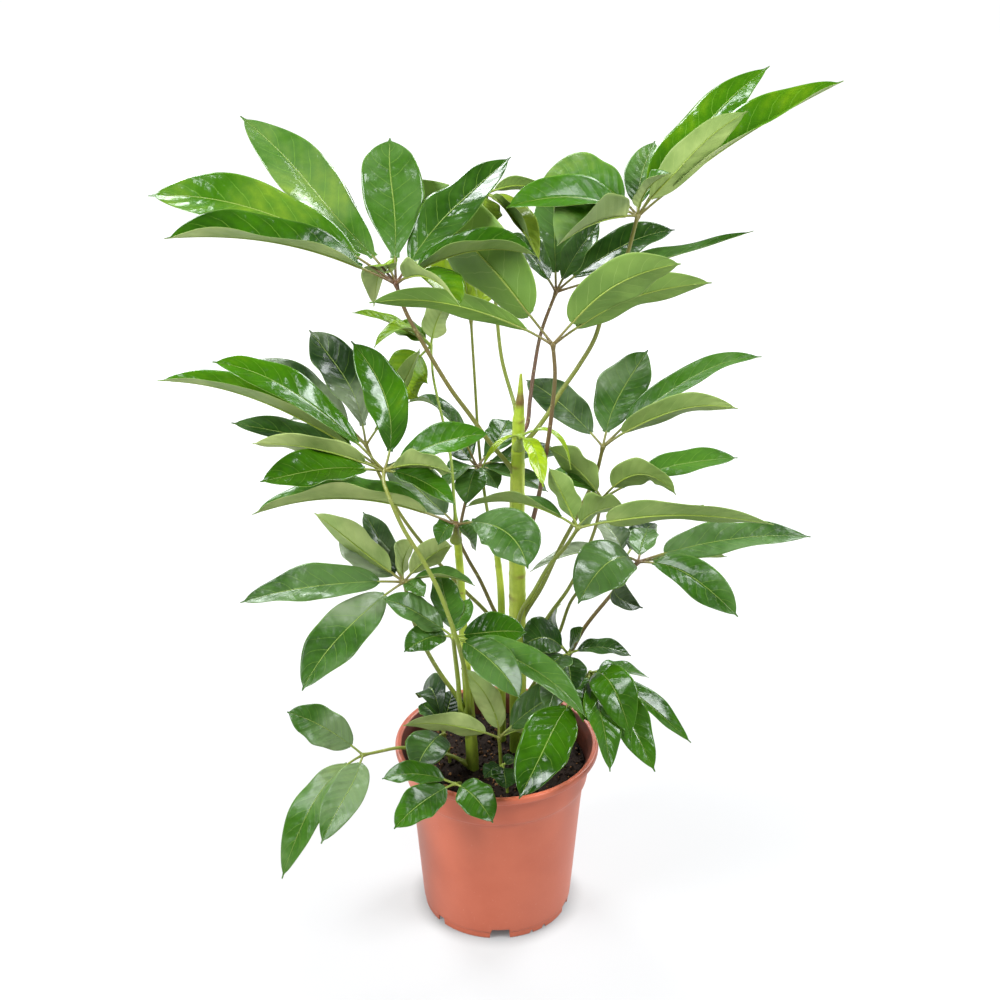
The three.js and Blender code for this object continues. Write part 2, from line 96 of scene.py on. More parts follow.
# The line from the eye through a pixel, scaled to one unit of distance ahead.
def sightLine(x, y):
    middle = photoView["frame"] / 2
    across = (x - middle) / photoView["focal"]
    over = (middle - y) / photoView["focal"]
    return ahead + rightward * across + upward * over


# The point on a pixel's sight line whose Y is depth.
def at(x, y, depth):
    line = sightLine(x, y)
    return eye + line * (depth - eye[1]) / line[1]


# The point on a pixel's sight line that is nearer the eye than another point by lean.
def nearer(x, y, point, lean):
    return eye + sightLine(x, y) * ((point - eye) @ ahead - lean)


# A bell curve: e to minus the square of distance over width.
def bell(distance, width):
    return np.exp(-((distance / width) ** 2))


# A centripetal Catmull-Rom curve: between two points, a cubic whose end slopes come from the
# four points around, with the square roots of the chord lengths as the steps.
def smoothPath(points, steps):
    points = np.asarray(points, float)
    knots = np.vstack([2 * points[0] - points[1], points, 2 * points[-1] - points[-2]])
    share = np.linspace(0, len(points) - 1, steps)
    piece = np.minimum(share.astype(int), len(points) - 2)
    rest = (share - piece)[:, None]
    before, first, second, after = (knots[piece + k] for k in range(4))
    chords = (before, first), (first, second), (second, after)
    gap = [np.sqrt(np.linalg.norm(b - a, axis=1))[:, None] for a, b in chords]

    # the slope at the middle one of three points, for the step between first and second
    def slopeAt(a, b, c, step, onward):
        return ((b - a) / step - (c - a) / (step + onward) + (c - b) / onward) * gap[1]

    leave = slopeAt(before, first, second, gap[0], gap[1])
    reach = slopeAt(first, second, after, gap[1], gap[2])
    cubic = 2 * first - 2 * second + leave + reach
    square = -3 * first + 3 * second - 2 * leave - reach
    return first + leave * rest + square * rest**2 + cubic * rest**3


# The squares of a stack of closed rings: a point, the next one round, and the same two on the
# ring above.
def tubeFaces(rings, sides):
    ring, side = np.meshgrid(np.arange(rings - 1), np.arange(sides), indexing="ij")
    low = ring * sides + side
    lowNext = ring * sides + (side + 1) % sides
    return np.stack([low, lowNext, lowNext + sides, low + sides], -1).reshape(-1, 4)


# A closed skin over a stack of rings: squares, a fan from a point at each end, and a UV map of
# the share of the way along and round. Gives points, squares, fans and UVs.
def skinOver(rings, ends, angle):
    count, sides = rings.shape[:2]
    around = np.arange(sides)
    following = (around + 1) % sides
    base = np.full(sides, count * sides)
    last = (count - 1) * sides
    fans = np.vstack([
        np.stack([base, following, around], -1),
        np.stack([base + 1, last + around, last + following], -1),
    ])
    share = np.repeat(np.linspace(0, 1, count), sides)
    uv = np.stack([share, np.tile(angle / (2 * np.pi), count)], -1)
    points = np.vstack([rings.reshape(-1, 3), ends])
    return points, tubeFaces(count, sides), fans, np.vstack([uv, [[0, 0], [1, 0]]])


# A round rod: a ring about each point of a path, square to the path. Its points are the path
# plus radius times cosine and sine of the angle, along two directions square to the path.
def rod(path, radius, sides, reference=(0.03, 1, 0.02)):
    tangent = unit(np.gradient(path, axis=0))
    side = unit(np.cross(tangent, np.array(reference)))
    other = np.cross(tangent, side)
    angle = np.linspace(0, 2 * np.pi, sides, endpoint=False)
    ring = side[:, None] * np.cos(angle)[:, None] + other[:, None] * np.sin(angle)[:, None]
    rings = path[:, None] + ring * radius[:, None, None]
    return skinOver(rings, path[[0, -1]], angle)


# A profile of radius and height carried round the Z axis: x and y are the radius times cosine
# and sine of the angle.
def turned(profile, segments):
    angle = np.linspace(0, 2 * np.pi, segments, endpoint=False)
    flat = profile[:, None, :1] * np.stack([np.cos(angle), np.sin(angle)], -1)
    height = np.broadcast_to(profile[:, None, 1:], (*flat.shape[:2], 1))
    ends = np.array([[0, 0, profile[0, 1]], [0, 0, profile[-1, 1]]])
    return skinOver(np.concatenate([flat, height], -1), ends, angle)


# A part of a piece: a surface, the number of its material, and traits for its points.
def partOf(surface, paint=0, **traits):
    return dict(zip(("points", "quads", "fans", "uv"), surface), paint=paint, **traits)


# One mesh from parts joined end to end, each one's face numbers moved on by the points before.
def makePiece(name, parts, materials, replaced=()):
    offset = np.cumsum([0] + [len(part["points"]) for part in parts[:-1]])
    points = np.vstack([part["points"] for part in parts]) / metre
    points = np.clip(points, *cadBox)  # nothing reaches past the plant's measured box
    quads = np.vstack([part["quads"] + o for part, o in zip(parts, offset)])
    fans = np.vstack([part["fans"] + o for part, o in zip(parts, offset)])
    mesh = bpy.data.meshes.new(name)
    mesh.vertices.add(len(points))
    mesh.vertices.foreach_set("co", points.ravel())
    corners = np.concatenate([quads.ravel(), fans.ravel()])
    mesh.loops.add(len(corners))
    mesh.loops.foreach_set("vertex_index", corners)
    starts = [np.arange(len(quads)) * 4, len(quads) * 4 + np.arange(len(fans)) * 3]
    mesh.polygons.add(len(quads) + len(fans))
    mesh.polygons.foreach_set("loop_start", np.concatenate(starts))
    paint = [np.broadcast_to(part["paint"], len(part["quads"])) for part in parts]
    paint += [np.full(len(part["fans"]), np.max(part["paint"])) for part in parts]
    mesh.polygons.foreach_set("material_index", np.concatenate(paint).astype(np.int32))
    mesh.update(calc_edges=True)
    mesh.validate()
    uv = np.vstack([part["uv"] for part in parts])
    mesh.uv_layers.new(name="surface").data.foreach_set("uv", uv[corners].ravel())
    for trait in ("tone", "gloss", "bloom"):
        values = [np.broadcast_to(part.get(trait, 0), len(part["points"])) for part in parts]
        layer = mesh.attributes.new(trait, "FLOAT", "POINT")
        layer.data.foreach_set("value", np.concatenate(values).astype(float))
    mesh.shade_smooth()
    for material in materials:
        mesh.materials.append(material)
    piece = newObject(name, mesh)
    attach(piece, "root")
    if replaced:
        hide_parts(*replaced)


# A shader socket that takes part in sums: an expression on it adds its Math nodes.
class Wire:
    def __init__(self, net, socket):
        self.net = net
        self.socket = socket

    def maths(self, operation, first, second=0.0):
        return self.net.node("Math", {"operation": operation}, {0: first, 1: second})

    def __add__(self, other):
        return self.maths("ADD", self, other)

    def __sub__(self, other):
        return self.maths("SUBTRACT", self, other)

    def __rsub__(self, other):
        return self.maths("SUBTRACT", other, self)

    def __mul__(self, other):
        return self.maths("MULTIPLY", self, other)

    def __pow__(self, other):
        return self.maths("POWER", self, other)

    __radd__ = __add__
    __rmul__ = __mul__

    def size(self):
        return self.maths("ABSOLUTE", self)

    def part(self):
        return self.maths("FRACT", self)

    # an S-curve from start, at low and under it, to end, at high and over it
    def ease(self, low, high, start=0.0, end=1.0):
        links = {"Value": self, "From Min": low, "From Max": high, "To Min": start, "To Max": end}
        return self.net.node("MapRange", {"interpolation_type": "SMOOTHSTEP"}, links)


# A material's nodes. Settings are set first, then values and links go to the sockets.
class Net:
    def __init__(self, name, world=None):
        self.material = world or bpy.data.materials.new(name)
        self.material.use_nodes = True
        self.tree = self.material.node_tree
        self.tree.nodes.clear()

    def node(self, kind, settings, links, out=0):
        made = self.tree.nodes.new("ShaderNode" + kind)
        for key, value in settings.items():
            setattr(made, key, value)
        for key, value in links.items():
            if isinstance(value, Wire):
                self.tree.links.new(value.socket, made.inputs[key])
            else:
                made.inputs[key].default_value = value
        return None if out is None else Wire(self, made.outputs[out])

    def blend(self, factor, first, second):
        return self.node("Mix", {"data_type": "RGBA"}, {0: factor, 6: first, 7: second}, 2)

    def trait(self, name):
        return self.node("Attribute", {"attribute_name": name}, {}, "Fac")

    def place(self):
        return self.node("TexCoord", {}, {}, "Object")

    def noise(self, scale, detail, rough=0.55, where=None):
        where = where or self.place()
        links = {"Vector": where, "Scale": scale, "Detail": detail, "Roughness": rough}
        return self.node("TexNoise", {}, links)

    def relief(self, height, strength, depth):
        return self.node("Bump", {}, {"Height": height, "Strength": strength, "Distance": depth})

    def principled(self, links):
        return self.node("BsdfPrincipled", {}, links)

    def finish(self, shader):
        self.node("OutputMaterial", {}, {"Surface": shader}, None)
        return self.material


# A colour from its red, green and blue as a painter reads them off a screen, 0 to 255.
def tint(red, green, blue):
    share = np.array([red, green, blue]) / 255
    linear = np.where(share <= 0.04045, share / 12.92, ((share + 0.055) / 1.055) ** 2.4)
    return (*linear.tolist(), 1.0)


bladeForm = {
    "petiolule": 0.15,  # a leaflet's own stalk, as a share of its midrib
    "stalkRadius": 1.3,
    "bowAndBelly": [0, 0.5],  # where a row doesn't give them
    "thickness": 0.55,
    "thinning": 0.45,  # how much thinner the margin is
    "tipHalf": 0.25,
    "rows": 48,
    "columns": 19,
    "crowding": 0.75,  # from 0, even rows, to 1, rows that crowd at both ends
    "oval": [1.035, 0.62, 0.3],  # how early it closes, how round it is, and its taper
    "drip": [0.15, 0.1],  # half width and length of the drip tip, as shares
    "narrowest": 0.7,  # the half width at the base, as a share of the stalk's radius
    "rollTo": 0.35,  # how far right of the viewer a rolled blade turns
    "keel": 0.22,  # how much the fold flattens outwards
    "wave": 0.13,  # height of the margin's waves, as a share of the half width
    "waves": [1.1, 2.3],  # how many there are, at least and at most
    "waveHeights": [0.5, 1.3],  # what the height is multiplied by, at least and at most
    "waveReach": 2.2,  # the higher, the closer the waves stay to the margin
    "scallop": 0.05,  # how far the margin swells in and out, as a share of the half width
    "scallops": 8.6,  # radians of a swell for each wave
    "ripple": 0.006,  # height of the blade's own ripples, as a share of the half width
    "ripples": [34, 5],  # radians of them along the blade and out to the margin
    "sway": 0.012,  # how far the midrib winds sideways, as a share of its length
    "twist": 14,  # degrees, at most, between base and tip
    "untwisted": 0.35,  # share of the way where the blade isn't turned
    "toneSpread": 0.08,
    "collar": [1.05, 0.5, 0.03],  # its stalk's radius, the swell at the hub, and its length
    "ribRadius": [0.25, 0.85, 1.2],  # at the tip, what is added at the base, how fast that goes
    "ribSunk": 0.75,  # share of its radius
    "blush": 0.2,  # share of the way over which the hub's brown fades
    "ribEnd": 0.94,  # where the raised midrib ends
    "ribRings": 34,
    "ribSides": 8,
    "seed": 20,
    # deep green to lime are the leaves' own colours and also painted light and shade: deep where
    # leaves shade each other, lime where they are lit
    "deep": tint(7, 37, 2),
    "middle": tint(56, 105, 4),
    "lime": tint(160, 186, 26),
    # painted sheen: a grey that stands for the sky's reflection on the upper side
    "grey": tint(128, 140, 112),
    "vein": tint(128, 168, 60),
    "rib": tint(156, 182, 84),
    "under": tint(96, 134, 34),
    "underPale": tint(182, 196, 122),
    "underShade": tint(72, 110, 24),
    "underVein": tint(168, 188, 100),
    "glow": tint(140, 200, 10),
    "through": 0.12,  # share of the light that shines through a blade
    "clouds": 0.75,  # how far the shade wanders over a blade
    "coat": 0.55,  # weight of the clear coat on the glossiest leaf
    "veins": 8.5,  # side veins along each half
    "sweep": 1.5,  # how far they lean to the tip
    "stray": 0.35,  # how far they wander off a straight line
}


# The leaf's pattern of side veins: a saw along the blade that leans to the tip with the way out
# to the margin. It is 0 on a vein and 0.5 half way between two. Also gives the way out.
def veinPattern(net):
    split = net.node("SeparateXYZ", {}, {0: net.node("UVMap", {"uv_map": "surface"}, {})})
    along, across = split, Wire(net, split.socket.node.outputs[1])
    out = (across * 2 - 1).size()
    stray = net.noise(60, 2) * bladeForm["stray"]
    saw = along * bladeForm["veins"] - out**1.25 * bladeForm["sweep"] + stray
    side = across.ease(0.499, 0.501) * 0.5
    between = 0.5 - ((saw + side).part() - 0.5).size()
    return out, between


# A blade's shader: its surface, and a share of light from behind in the colour and the glow.
def bladeShader(net, colour, glow, links):
    behind = net.blend(glow, colour, bladeForm["glow"])
    behind = net.node("BsdfTranslucent", {}, {"Color": behind})
    body = net.principled({"Base Color": colour, **links})
    return net.finish(net.node("MixShader", {}, {0: bladeForm["through"], 1: body, 2: behind}))


# The upper side: deep green to lime as the tone and slow clouds say, which also paint light and
# shade, then a painted grey sheen that stands for reflection, pale veins that fade outwards, the
# pale midrib and the margin. Gloss smooths it and adds the coat.
def leafTop():
    net = Net("leaf top")
    out, between = veinPattern(net)
    tone, gloss = net.trait("tone"), net.trait("gloss")
    cloud, fine, pucker = net.noise(11, 4), net.noise(90, 4), net.noise(75, 2, 0.4)
    vein = between.ease(0.004, 0.03, 1, 0) * out.ease(0.5, 1.0, 1, 0)
    rib = out.ease(0.008, 0.03, 1, 0)
    clouded = tone + (cloud - 0.5) * bladeForm["clouds"]
    shade = clouded + (fine - 0.5) * 0.15 + (between - 0.25) * 0.12
    # deep green to lime: the leaf's own tone, with painted light and shade
    lower = net.blend(shade.ease(0.0, 0.5), bladeForm["deep"], bladeForm["middle"])
    colour = net.blend(shade.ease(0.4, 1.0), lower, bladeForm["lime"])
    # a painted grey sheen in patches, standing for reflection
    bloom = net.trait("bloom") * cloud.ease(0.36, 0.6, 0.05, 1.5)
    colour = net.blend(bloom, colour, bladeForm["grey"])
    colour = net.blend(vein * 0.42, colour, bladeForm["vein"])
    colour = net.blend(rib * 0.7, colour, bladeForm["rib"])
    colour = net.blend(out.ease(0.94, 1.0) * 0.3, colour, bladeForm["vein"])
    height = between * (1 - out * 0.4) * 0.6 + pucker * 1.5 + fine * 0.3 - rib * 0.6
    return bladeShader(net, colour, 0.6, {
        "Roughness": 0.43 - gloss * 0.26 + fine * 0.08 + rib * 0.1,
        "Normal": net.relief(height, 0.8, 0.0019), "IOR": 1.45, "Specular IOR Level": 0.24,
        "Coat Weight": gloss * bladeForm["coat"], "Coat Roughness": 0.12,
    })


# The underside: dull green to light olive as the tone says, with darker clouds, paler veins, and
# the veins and midrib standing out.
def leafUnder():
    net = Net("leaf under")
    out, between = veinPattern(net)
    cloud, fine = net.noise(14, 4), net.noise(200, 4)
    vein = between.ease(0.004, 0.035, 1, 0) * out.ease(0.5, 1.0, 1, 0)
    rib = out.ease(0.012, 0.04, 1, 0)
    colour = net.blend(net.trait("tone"), bladeForm["under"], bladeForm["underPale"])
    colour = net.blend(cloud.ease(0.35, 0.65, 0, 0.6), colour, bladeForm["underShade"])
    colour = net.blend(vein * 0.3 + rib * 0.6, colour, bladeForm["underVein"])
    colour = net.blend(out.ease(0.95, 1.0) * 0.4, colour, bladeForm["underVein"])
    height = between * -1.0 + fine * 0.25 + rib
    links = {"Roughness": 0.5 + fine * 0.16, "Normal": net.relief(height, 0.6, 0.0009)}
    return bladeShader(net, colour, 0.5, links)


stalkForm = {
    "radius": 2.3,
    "taper": [1.22, 0.34],  # radius at the foot, and how much it loses by the hub, as shares
    "foot": [0.9, 9],  # how much the foot that clasps a stem swells, and over what length
    "hub": [0.55, 4.5, 3],  # the same at the hub, and how far before the knob's end
    "beyond": [2.2, 3.4],  # how far the hub's knob reaches past it
    "knobEnd": 0.45,
    "rootHeights": [172, 202],  # in the soil, and above it
    "ringsPerPoint": 12,
    "sides": 14,
    "fresh": [tint(110, 134, 34), tint(144, 166, 56)],
    "dusk": [tint(74, 44, 32), tint(112, 76, 52)],
    "speck": tint(186, 190, 130),
}


# Stalks: light green where the tone is 0 and purple-brown where it is 1, with streaks and pale
# specks.
def stalkSkin():
    net = Net("stalk")
    streak, speck = net.noise(40, 4), net.noise(260, 2)
    fresh, dusk = (net.blend(streak, *stalkForm[name]) for name in ("fresh", "dusk"))
    colour = net.blend(net.trait("tone") + (streak - 0.5) * 0.3, fresh, dusk)
    colour = net.blend(speck.ease(0.62, 0.72) * 0.4, colour, stalkForm["speck"])
    bump = net.relief(speck + streak, 0.4, 0.0006)
    links = {"Base Color": colour, "Roughness": 0.38 + speck * 0.14, "Normal": bump}
    return net.finish(net.principled(links))


# Compound leaves. Each stalk follows its route in pixels. Its depth, mm behind the pot's axis,
# runs evenly between the two depths, unless a point gives its own as a third number. Root is
# where a stalk stands in the soil, and stalk its radius. A leaflet is tip x, tip y, lean (how
# much nearer the viewer its tip is than the hub), width, roll to the viewer and fold in degrees,
# arch, bow and belly, the share of the way where it is widest. Looks are the shade from 0 deep
# green to 1 lime (the leaf's own colour, and also painted light and shade: lime where it is lit,
# deep where other leaves shade it), the gloss from 0 dull to 1 wet, the underside from 0 green to
# 1 light olive, the painted sheen, a grey cast over the upper side that stands for reflection,
# and how purple-brown the stalk is at its foot and at its hub. Apart are the leaflets that look
# unlike
# the rest, by their place: shade, gloss, underside and painted sheen.
fronds = {
    "frond_top_left": {
        "depths": [10, -30], "looks": [0.45, 1, 0.5, 0, 0.35, 1],
        "route": [
            [517, 475], [503, 458], [490, 443], [470, 415], [450, 388], [420, 338], [405, 310],
            [396, 284],
        ],
        "leaflets": [
            [148, 196, 10, 66, 32, 12, 28, 0, 0.56], [164, 239, 62, 68, 4, 40, 20, 0, 0.55],
            [240, 116, -50, 66, 18, 12, 2, 4, 0.56], [390, 138, -45, 68, 0, 10, 8, 0, 0.6],
            [511, 157, -25, 54, 20, 12, 6, -6], [537, 256, 20, 58, -3, 40, 20],
            [461, 307, 75, 58, -22, 30, 20], [374, 307, -40, 42, 0, 12, 34, -2],
        ],
        "apart": {
            0: [0.44, 1, 0.5, 0.05], 1: [0.32, 0.9, 0.8, 0], 2: [0.45, 1, 0.4, 0.15],
            3: [0.34, 0.8, 0.4, 0.12], 4: [0.26, 1, 0.3, 0.05], 5: [0.3, 0.8, 0.5, 0],
            6: [0.42, 0.8, 0.8, 0], 7: [0.7, 0.3, 1, 0],
        },
    },
    "frond_top_right": {
        "depths": [10, 50], "looks": [0.56, 0.6, 0.6, 0.08, 0.35, 0.7],
        "route": [
            [519, 446], [530, 437], [547, 415], [560, 393], [578, 367], [594, 340], [604, 310],
            [618, 280], [628, 252], [636, 222], [638, 216],
        ],
        "leaflets": [
            [506, 208, 48, 54, 22, 26, 16, 0, 0.46], [538, 188, -60, 56, 34, 15, 26],
            [557, 246, 60, 88, -14, 44, 10], [655, 141, -70, 38, 0, 12, 0, -6],
            [671, 173, 44, 34, 10, 30, 6, -8], [770, 66, -50, 58, 10, 12, 4, -10, 0.42],
            [844, 81, 0, 60, 4, 36, 12], [748, 111, 40, 38, -95, 10, 4, -8],
        ],
        "apart": {
            0: [0.3, 0.4, 0.3, 0], 1: [0.56, 0.2, 0.4, 0.12], 2: [0.5, 0.3, 0.8, 0.35],
            3: [0.36, 0.2, 0.9, 0.1], 4: [0.46, 0.3, 0.7, 0], 5: [0.5, 1, 0.5, 0],
            6: [0.5, 1, 0.6, 0],
        },
    },
    "frond_centre": {
        "depths": [8, -60], "looks": [0.45, 0.6, 0.1, 0, 1, 0.8],
        "route": [
            [520, 560], [530, 530], [540, 490], [545, 460], [549, 435], [552, 410], [555, 375],
            [553, 345],
        ],
        "leaflets": [
            [400, 178, -66, 88, -95, 14, 10, 0, 0.42], [369, 303, 40, 34, -70, 12, 20],
            [681, 264, 50, 56, -72, 10, 22, 0, 0.42], [712, 283, 0, 44, -72, 14, 18, 0, 0.42],
        ],
    },
    "frond_crown": {
        "depths": [10, 90], "stalk": 1.9, "looks": [0.7, 0.6, 0.4, 0.1, 0.3, 0.3],
        "route": [[518, 415], [512, 396], [502, 360], [497, 318], [492, 255], [486, 194]],
        "leaflets": [
            [546, 191, 5, 24, -60, 15, 8], [530, 240, 30, 32, -60, 15, 8],
            [540, 262, 0, 38, 0, 20, 18], [479, 229, 10, 44, 30, 12, 4],
        ],
    },
    "frond_upper_back": {
        "depths": [10, 115], "stalk": 2.1, "looks": [0.24, 0.9, 0.2, 0.1, 1, 0.9],
        "route": [[518, 437], [527, 425], [530, 400], [534, 370], [541, 333], [556, 292]],
        "leaflets": [
            [754, 231, 0, 38, -4, 20, 0, 0, 0.34], [675, 230, -20, 46, 25, 15, 14],
            [600, 222, 20, 44, 10, 10, 6], [553, 176, -50, 50, 0, 10, 4],
            [505, 236, 0, 44, 10, 20, 10],
        ],
    },
    "frond_upper_left_back": {
        "depths": [36, 120], "stalk": 1.7, "looks": [0.75, 0.5, 0.4, 0, 0.1, 0.5],
        "route": [[494, 545], [489, 520], [484, 490], [479, 447], [475, 384], [471, 321]],
        "leaflets": [
            [408, 246, -20, 46, 10, 15, 8], [455, 232, -60, 50, 0, 15, 4],
            [512, 262, -20, 44, 0, 15, 10],
        ],
    },
    "frond_young": {
        "depths": [-60, 76], "stalk": 1.5, "looks": [0.62, 0.2, 0.8, 0, 0, 0],
        "route": [
            [456, 524.7], [454, 500], [451, 460], [445, 430], [438, 400], [433, 375], [431, 346],
        ],
        "leaflets": [
            [352, 313, 20, 24, 0, 20, 8], [374, 348, 40, 26, 0, 20, 22, 0, 0.4],
            [418, 398, -15, 56, 24, 10, -4, -18, 0.42], [450, 298, -10, 42, -105, 8, 2, -4, 0.45],
            [392, 330, 0, 34, 10, 15, 6],
        ],
    },
    "frond_left": {
        "depths": [-20, -60], "looks": [0.36, 0.9, 0.8, 0, 0.1, 0.55],
        "route": [
            [468, 712, -20], [468, 695, -48], [466, 678, -78], [462, 658, -106], [456, 637, -122],
            [438, 589, -122], [422, 559, -118], [403, 528, -118], [390, 499, -113],
            [384, 483, -90], [384, 471, -60],
        ],
        "leaflets": [
            [157, 381, 0, 54, -6, 42, 26, 0, 0.46], [212, 362, 30, 44, 20, 16, 26],
            [351, 341, 0, 48, 10, 12, 0, 22, 0.56], [231, 423, 20, 42, 12, 15, 10],
            [252, 444, 50, 42, -52, 14, 10, 0, 0.45], [260, 482, 72, 54, 18, 14, 8],
            [453, 474, 45, 44, -60, 12, 10, 0, 0.6], [489, 434, 10, 44, 22, 14, 10],
            [455, 505, 45, 34, 10, 15, 10],
        ],
        "apart": {
            0: [0.5, 1, 0.6, 0], 1: [0.42, 1, 0.6, 0], 3: [0.24, 0.6, 0.6, 0.1],
            5: [0.28, 1, 0.6, 0], 7: [0.32, 0.5, 0.6, 0], 8: [0.2, 0.4, 0.6, 0],
        },
    },
    "frond_left_back": {
        "depths": [38, 62], "stalk": 2, "looks": [0.16, 0.5, 0.4, 0.6, 0.4, 0.6],
        "route": [
            [503, 637], [487, 613], [462, 588], [425, 547], [399, 512], [381, 478], [366, 445],
        ],
        "leaflets": [
            [309, 330, -30, 54, 10, 14, 4, 12, 0.6], [243, 363, -30, 54, 0, 20, 18],
            [420, 349, 100, 42, -10, 20, 4, 6, 0.6], [290, 420, 30, 46, 0, 20, 12],
        ],
    },
    "frond_inner": {
        "depths": [38, 60], "stalk": 2, "looks": [0.3, 0.6, 0.3, 0.1, 0.7, 0.9],
        "route": [
            [501, 622], [495, 612], [480, 580], [467, 557], [460, 540], [466, 500], [477, 467],
        ],
        "leaflets": [
            [408, 403, 0, 34, -8, 25, 30], [450, 430, -10, 48, 5, 14, 4, -6],
            [509, 420, -50, 38, 5, 14, 6, 6, 0.6], [444, 488, 20, 40, -10, 15, 10],
            [466, 505, 35, 38, 0, 15, 8], [498, 489, 0, 42, 5, 15, 6],
            [566, 455, -40, 40, 5, 14, 8, 0, 0.6], [548, 492, -12, 44, 0, 14, 6, 0, 0.6],
        ],
    },
    "frond_right": {
        "depths": [12, 0], "looks": [0.24, 0.5, 0.5, 0.18, 0.3, 0.7],
        "route": [
            [519, 628], [526, 612], [541, 588], [559, 550], [575, 520], [586, 497], [595, 478],
            [603, 447],
        ],
        "leaflets": [
            [526, 380, -60, 46, 20, 14, 8], [648, 350, -30, 58, 10, 12, 0, -8, 0.56],
            [762, 357, 10, 38, 12, 18, 24, 0, 0.4], [738, 409, 50, 42, -56, 16, 20, 0, 0.4],
        ],
        "apart": {0: [0.2, 0.6, 0.5, 0.25], 1: [0.3, 0.3, 0.5, 0.35], 2: [0.34, 0.4, 0.5, 0.15]},
    },
    "frond_right_middle": {
        "depths": [12, -20], "stalk": 2, "looks": [0.28, 0.7, 0.4, 0.08, 0.25, 0.6],
        "route": [[519, 668], [548, 617], [570, 586], [594, 532], [602, 499]],
        "leaflets": [
            [738, 458, 10, 38, 20, 14, 14, 0, 0.6], [676, 495, 50, 44, -60, 12, 28, 0, 0.45],
            [548, 447, 0, 46, -70, 12, 2, 6], [704, 505, -30, 20, 0, 16, -12],
            [552, 471, -26, 38, 0, 14, 6, 0, 0.6],
        ],
        "apart": {0: [0.24, 0.8, 0.4, 0.05]},
    },
    "frond_centre_right": {
        "depths": [12, -70], "looks": [0.28, 0.5, 0.4, 0.1, 0.15, 0.4],
        "route": [[518, 640], [520, 615], [535, 590], [549, 566], [566, 546], [578, 528]],
        "leaflets": [
            [774, 525, 40, 46, -58, 12, 14, 0, 0.3], [549, 468, 8, 44, -80, 12, 2],
            [624, 505, -22, 56, -66, 12, 4, -10, 0.42], [466, 507, -25, 46, -22, 25, 18],
        ],
    },
    "frond_lower_right": {
        "depths": [14, -35], "looks": [0.3, 0.5, 0.45, 0.15, 0.7, 0.9],
        "route": [[518, 722], [555, 677], [570, 654], [585, 627], [610, 596], [638, 562]],
        "leaflets": [
            [811, 537, 0, 44, 25, 18, 12, 0, 0.36], [738, 617, 50, 46, 30, 20, 18, 0, 0.58],
            [578, 604, 60, 64, 22, 10, 26], [648, 528, -50, 34, 0, 15, 5],
            [727, 557, -30, 28, -50, 12, 4], [643, 608, -25, 42, 0, 15, -6, -30],
        ],
        "apart": {
            0: [0.36, 0.4, 0.4, 0.2], 1: [0.42, 0.5, 0.4, 0.12], 2: [0.3, 0.6, 0.4, 0.12],
            5: [0.12, 0.4, 0.4, 0.2],
        },
    },
    "frond_lower_right_back": {
        "depths": [16, 95], "stalk": 1.9, "looks": [0.16, 0.4, 0.4, 0.75, 0.4, 0.5],
        "route": [[520, 705], [548, 660], [560, 631], [573, 598], [600, 572], [626, 557]],
        "leaflets": [
            [600, 520, -30, 40, 0, 15, 6], [655, 523, -40, 36, 0, 15, 6],
            [530, 572, 0, 28, 0, 25, 16],
        ],
    },
    "frond_middle": {
        "depths": [-60, -75], "stalk": 3, "looks": [0.3, 0.7, 0.8, 0.05, 0.1, 0.9],
        "route": [[456, 540], [456, 525]],
        "leaflets": [
            [252, 515, 30, 62, -10, 44, 26, 0, 0.46], [528, 569, 60, 62, 25, 12, 22, 10, 0.6],
            [386, 464, -30, 56, 20, 20, 4], [438, 545, 0, 34, 0, 15, 8],
            [476, 551, -14, 42, 5, 15, 6],
        ],
        "apart": {1: [0.3, 0.5, 0.6, 0.15], 2: [0.14, 0.4, 0.6, 0.25]},
    },
    "frond_lower_left": {
        "depths": [-18, -60], "looks": [0.3, 0.5, 0.8, 0.1, 0.2, 0.7],
        "route": [
            [467, 715], [455, 694], [440, 673], [425, 647], [413, 619], [406, 590], [404, 582],
        ],
        "leaflets": [
            [240, 603, 20, 50, 25, 20, 9, 0, 0.46], [302, 691, 65, 56, 25, 12, 8, -8],
            [314, 513, -20, 48, -78, 16, 0, 0, 0.45], [363, 512, -60, 32, 10, 20, 0],
            [413, 540, -20, 44, -100, 10, 0, -6, 0.55], [338, 538, -50, 48, 20, 15, 0, 0, 0.45],
            [452, 546, 0, 38, -84, 14, 8], [475, 586, 20, 32, -10, 25, 10],
            [424, 597, 30, 24, 10, 15, 4],
        ],
        "apart": {
            0: [0.3, 0.5, 0.7, 0.15], 1: [0.36, 0.3, 0.7, 0.6], 3: [0.14, 0.6, 0.5, 0.3],
            5: [0.2, 0.3, 0.6, 0.7],
        },
    },
    "frond_low_front": {
        "depths": [-17, -105], "stalk": 2.6, "looks": [0.34, 0.7, 0.8, 0.05, 0.1, 0.2],
        "route": [[470, 735], [461, 712], [458, 680], [455, 655], [453, 637]],
        "leaflets": [
            [520, 699, 65, 46, 25, 16, 10, 4], [586, 717, 40, 42, 14, 26, 18, 4, 0.45],
            [383, 599, 20, 40, 25, 12, 6], [527, 633, 0, 44, 30, 14, 4],
            [404, 652, 25, 38, 20, 18, 8], [440, 572, -30, 38, 10, 15, 0],
            [470, 598, -20, 24, 0, 12, 0],
        ],
        "apart": {
            0: [0.34, 0.5, 0.7, 0.12], 1: [0.36, 0.6, 0.9, 0.1], 2: [0.36, 0.4, 0.7, 0.15],
            3: [0.26, 0.9, 0.6, 0],
        },
    },
    "frond_low_back": {
        "depths": [10, -32], "stalk": 2, "looks": [0.22, 0.6, 0.6, 0.08, 0.1, 0.3],
        "route": [[521, 740], [545, 700], [553, 678], [560, 667], [568, 654]],
        "leaflets": [
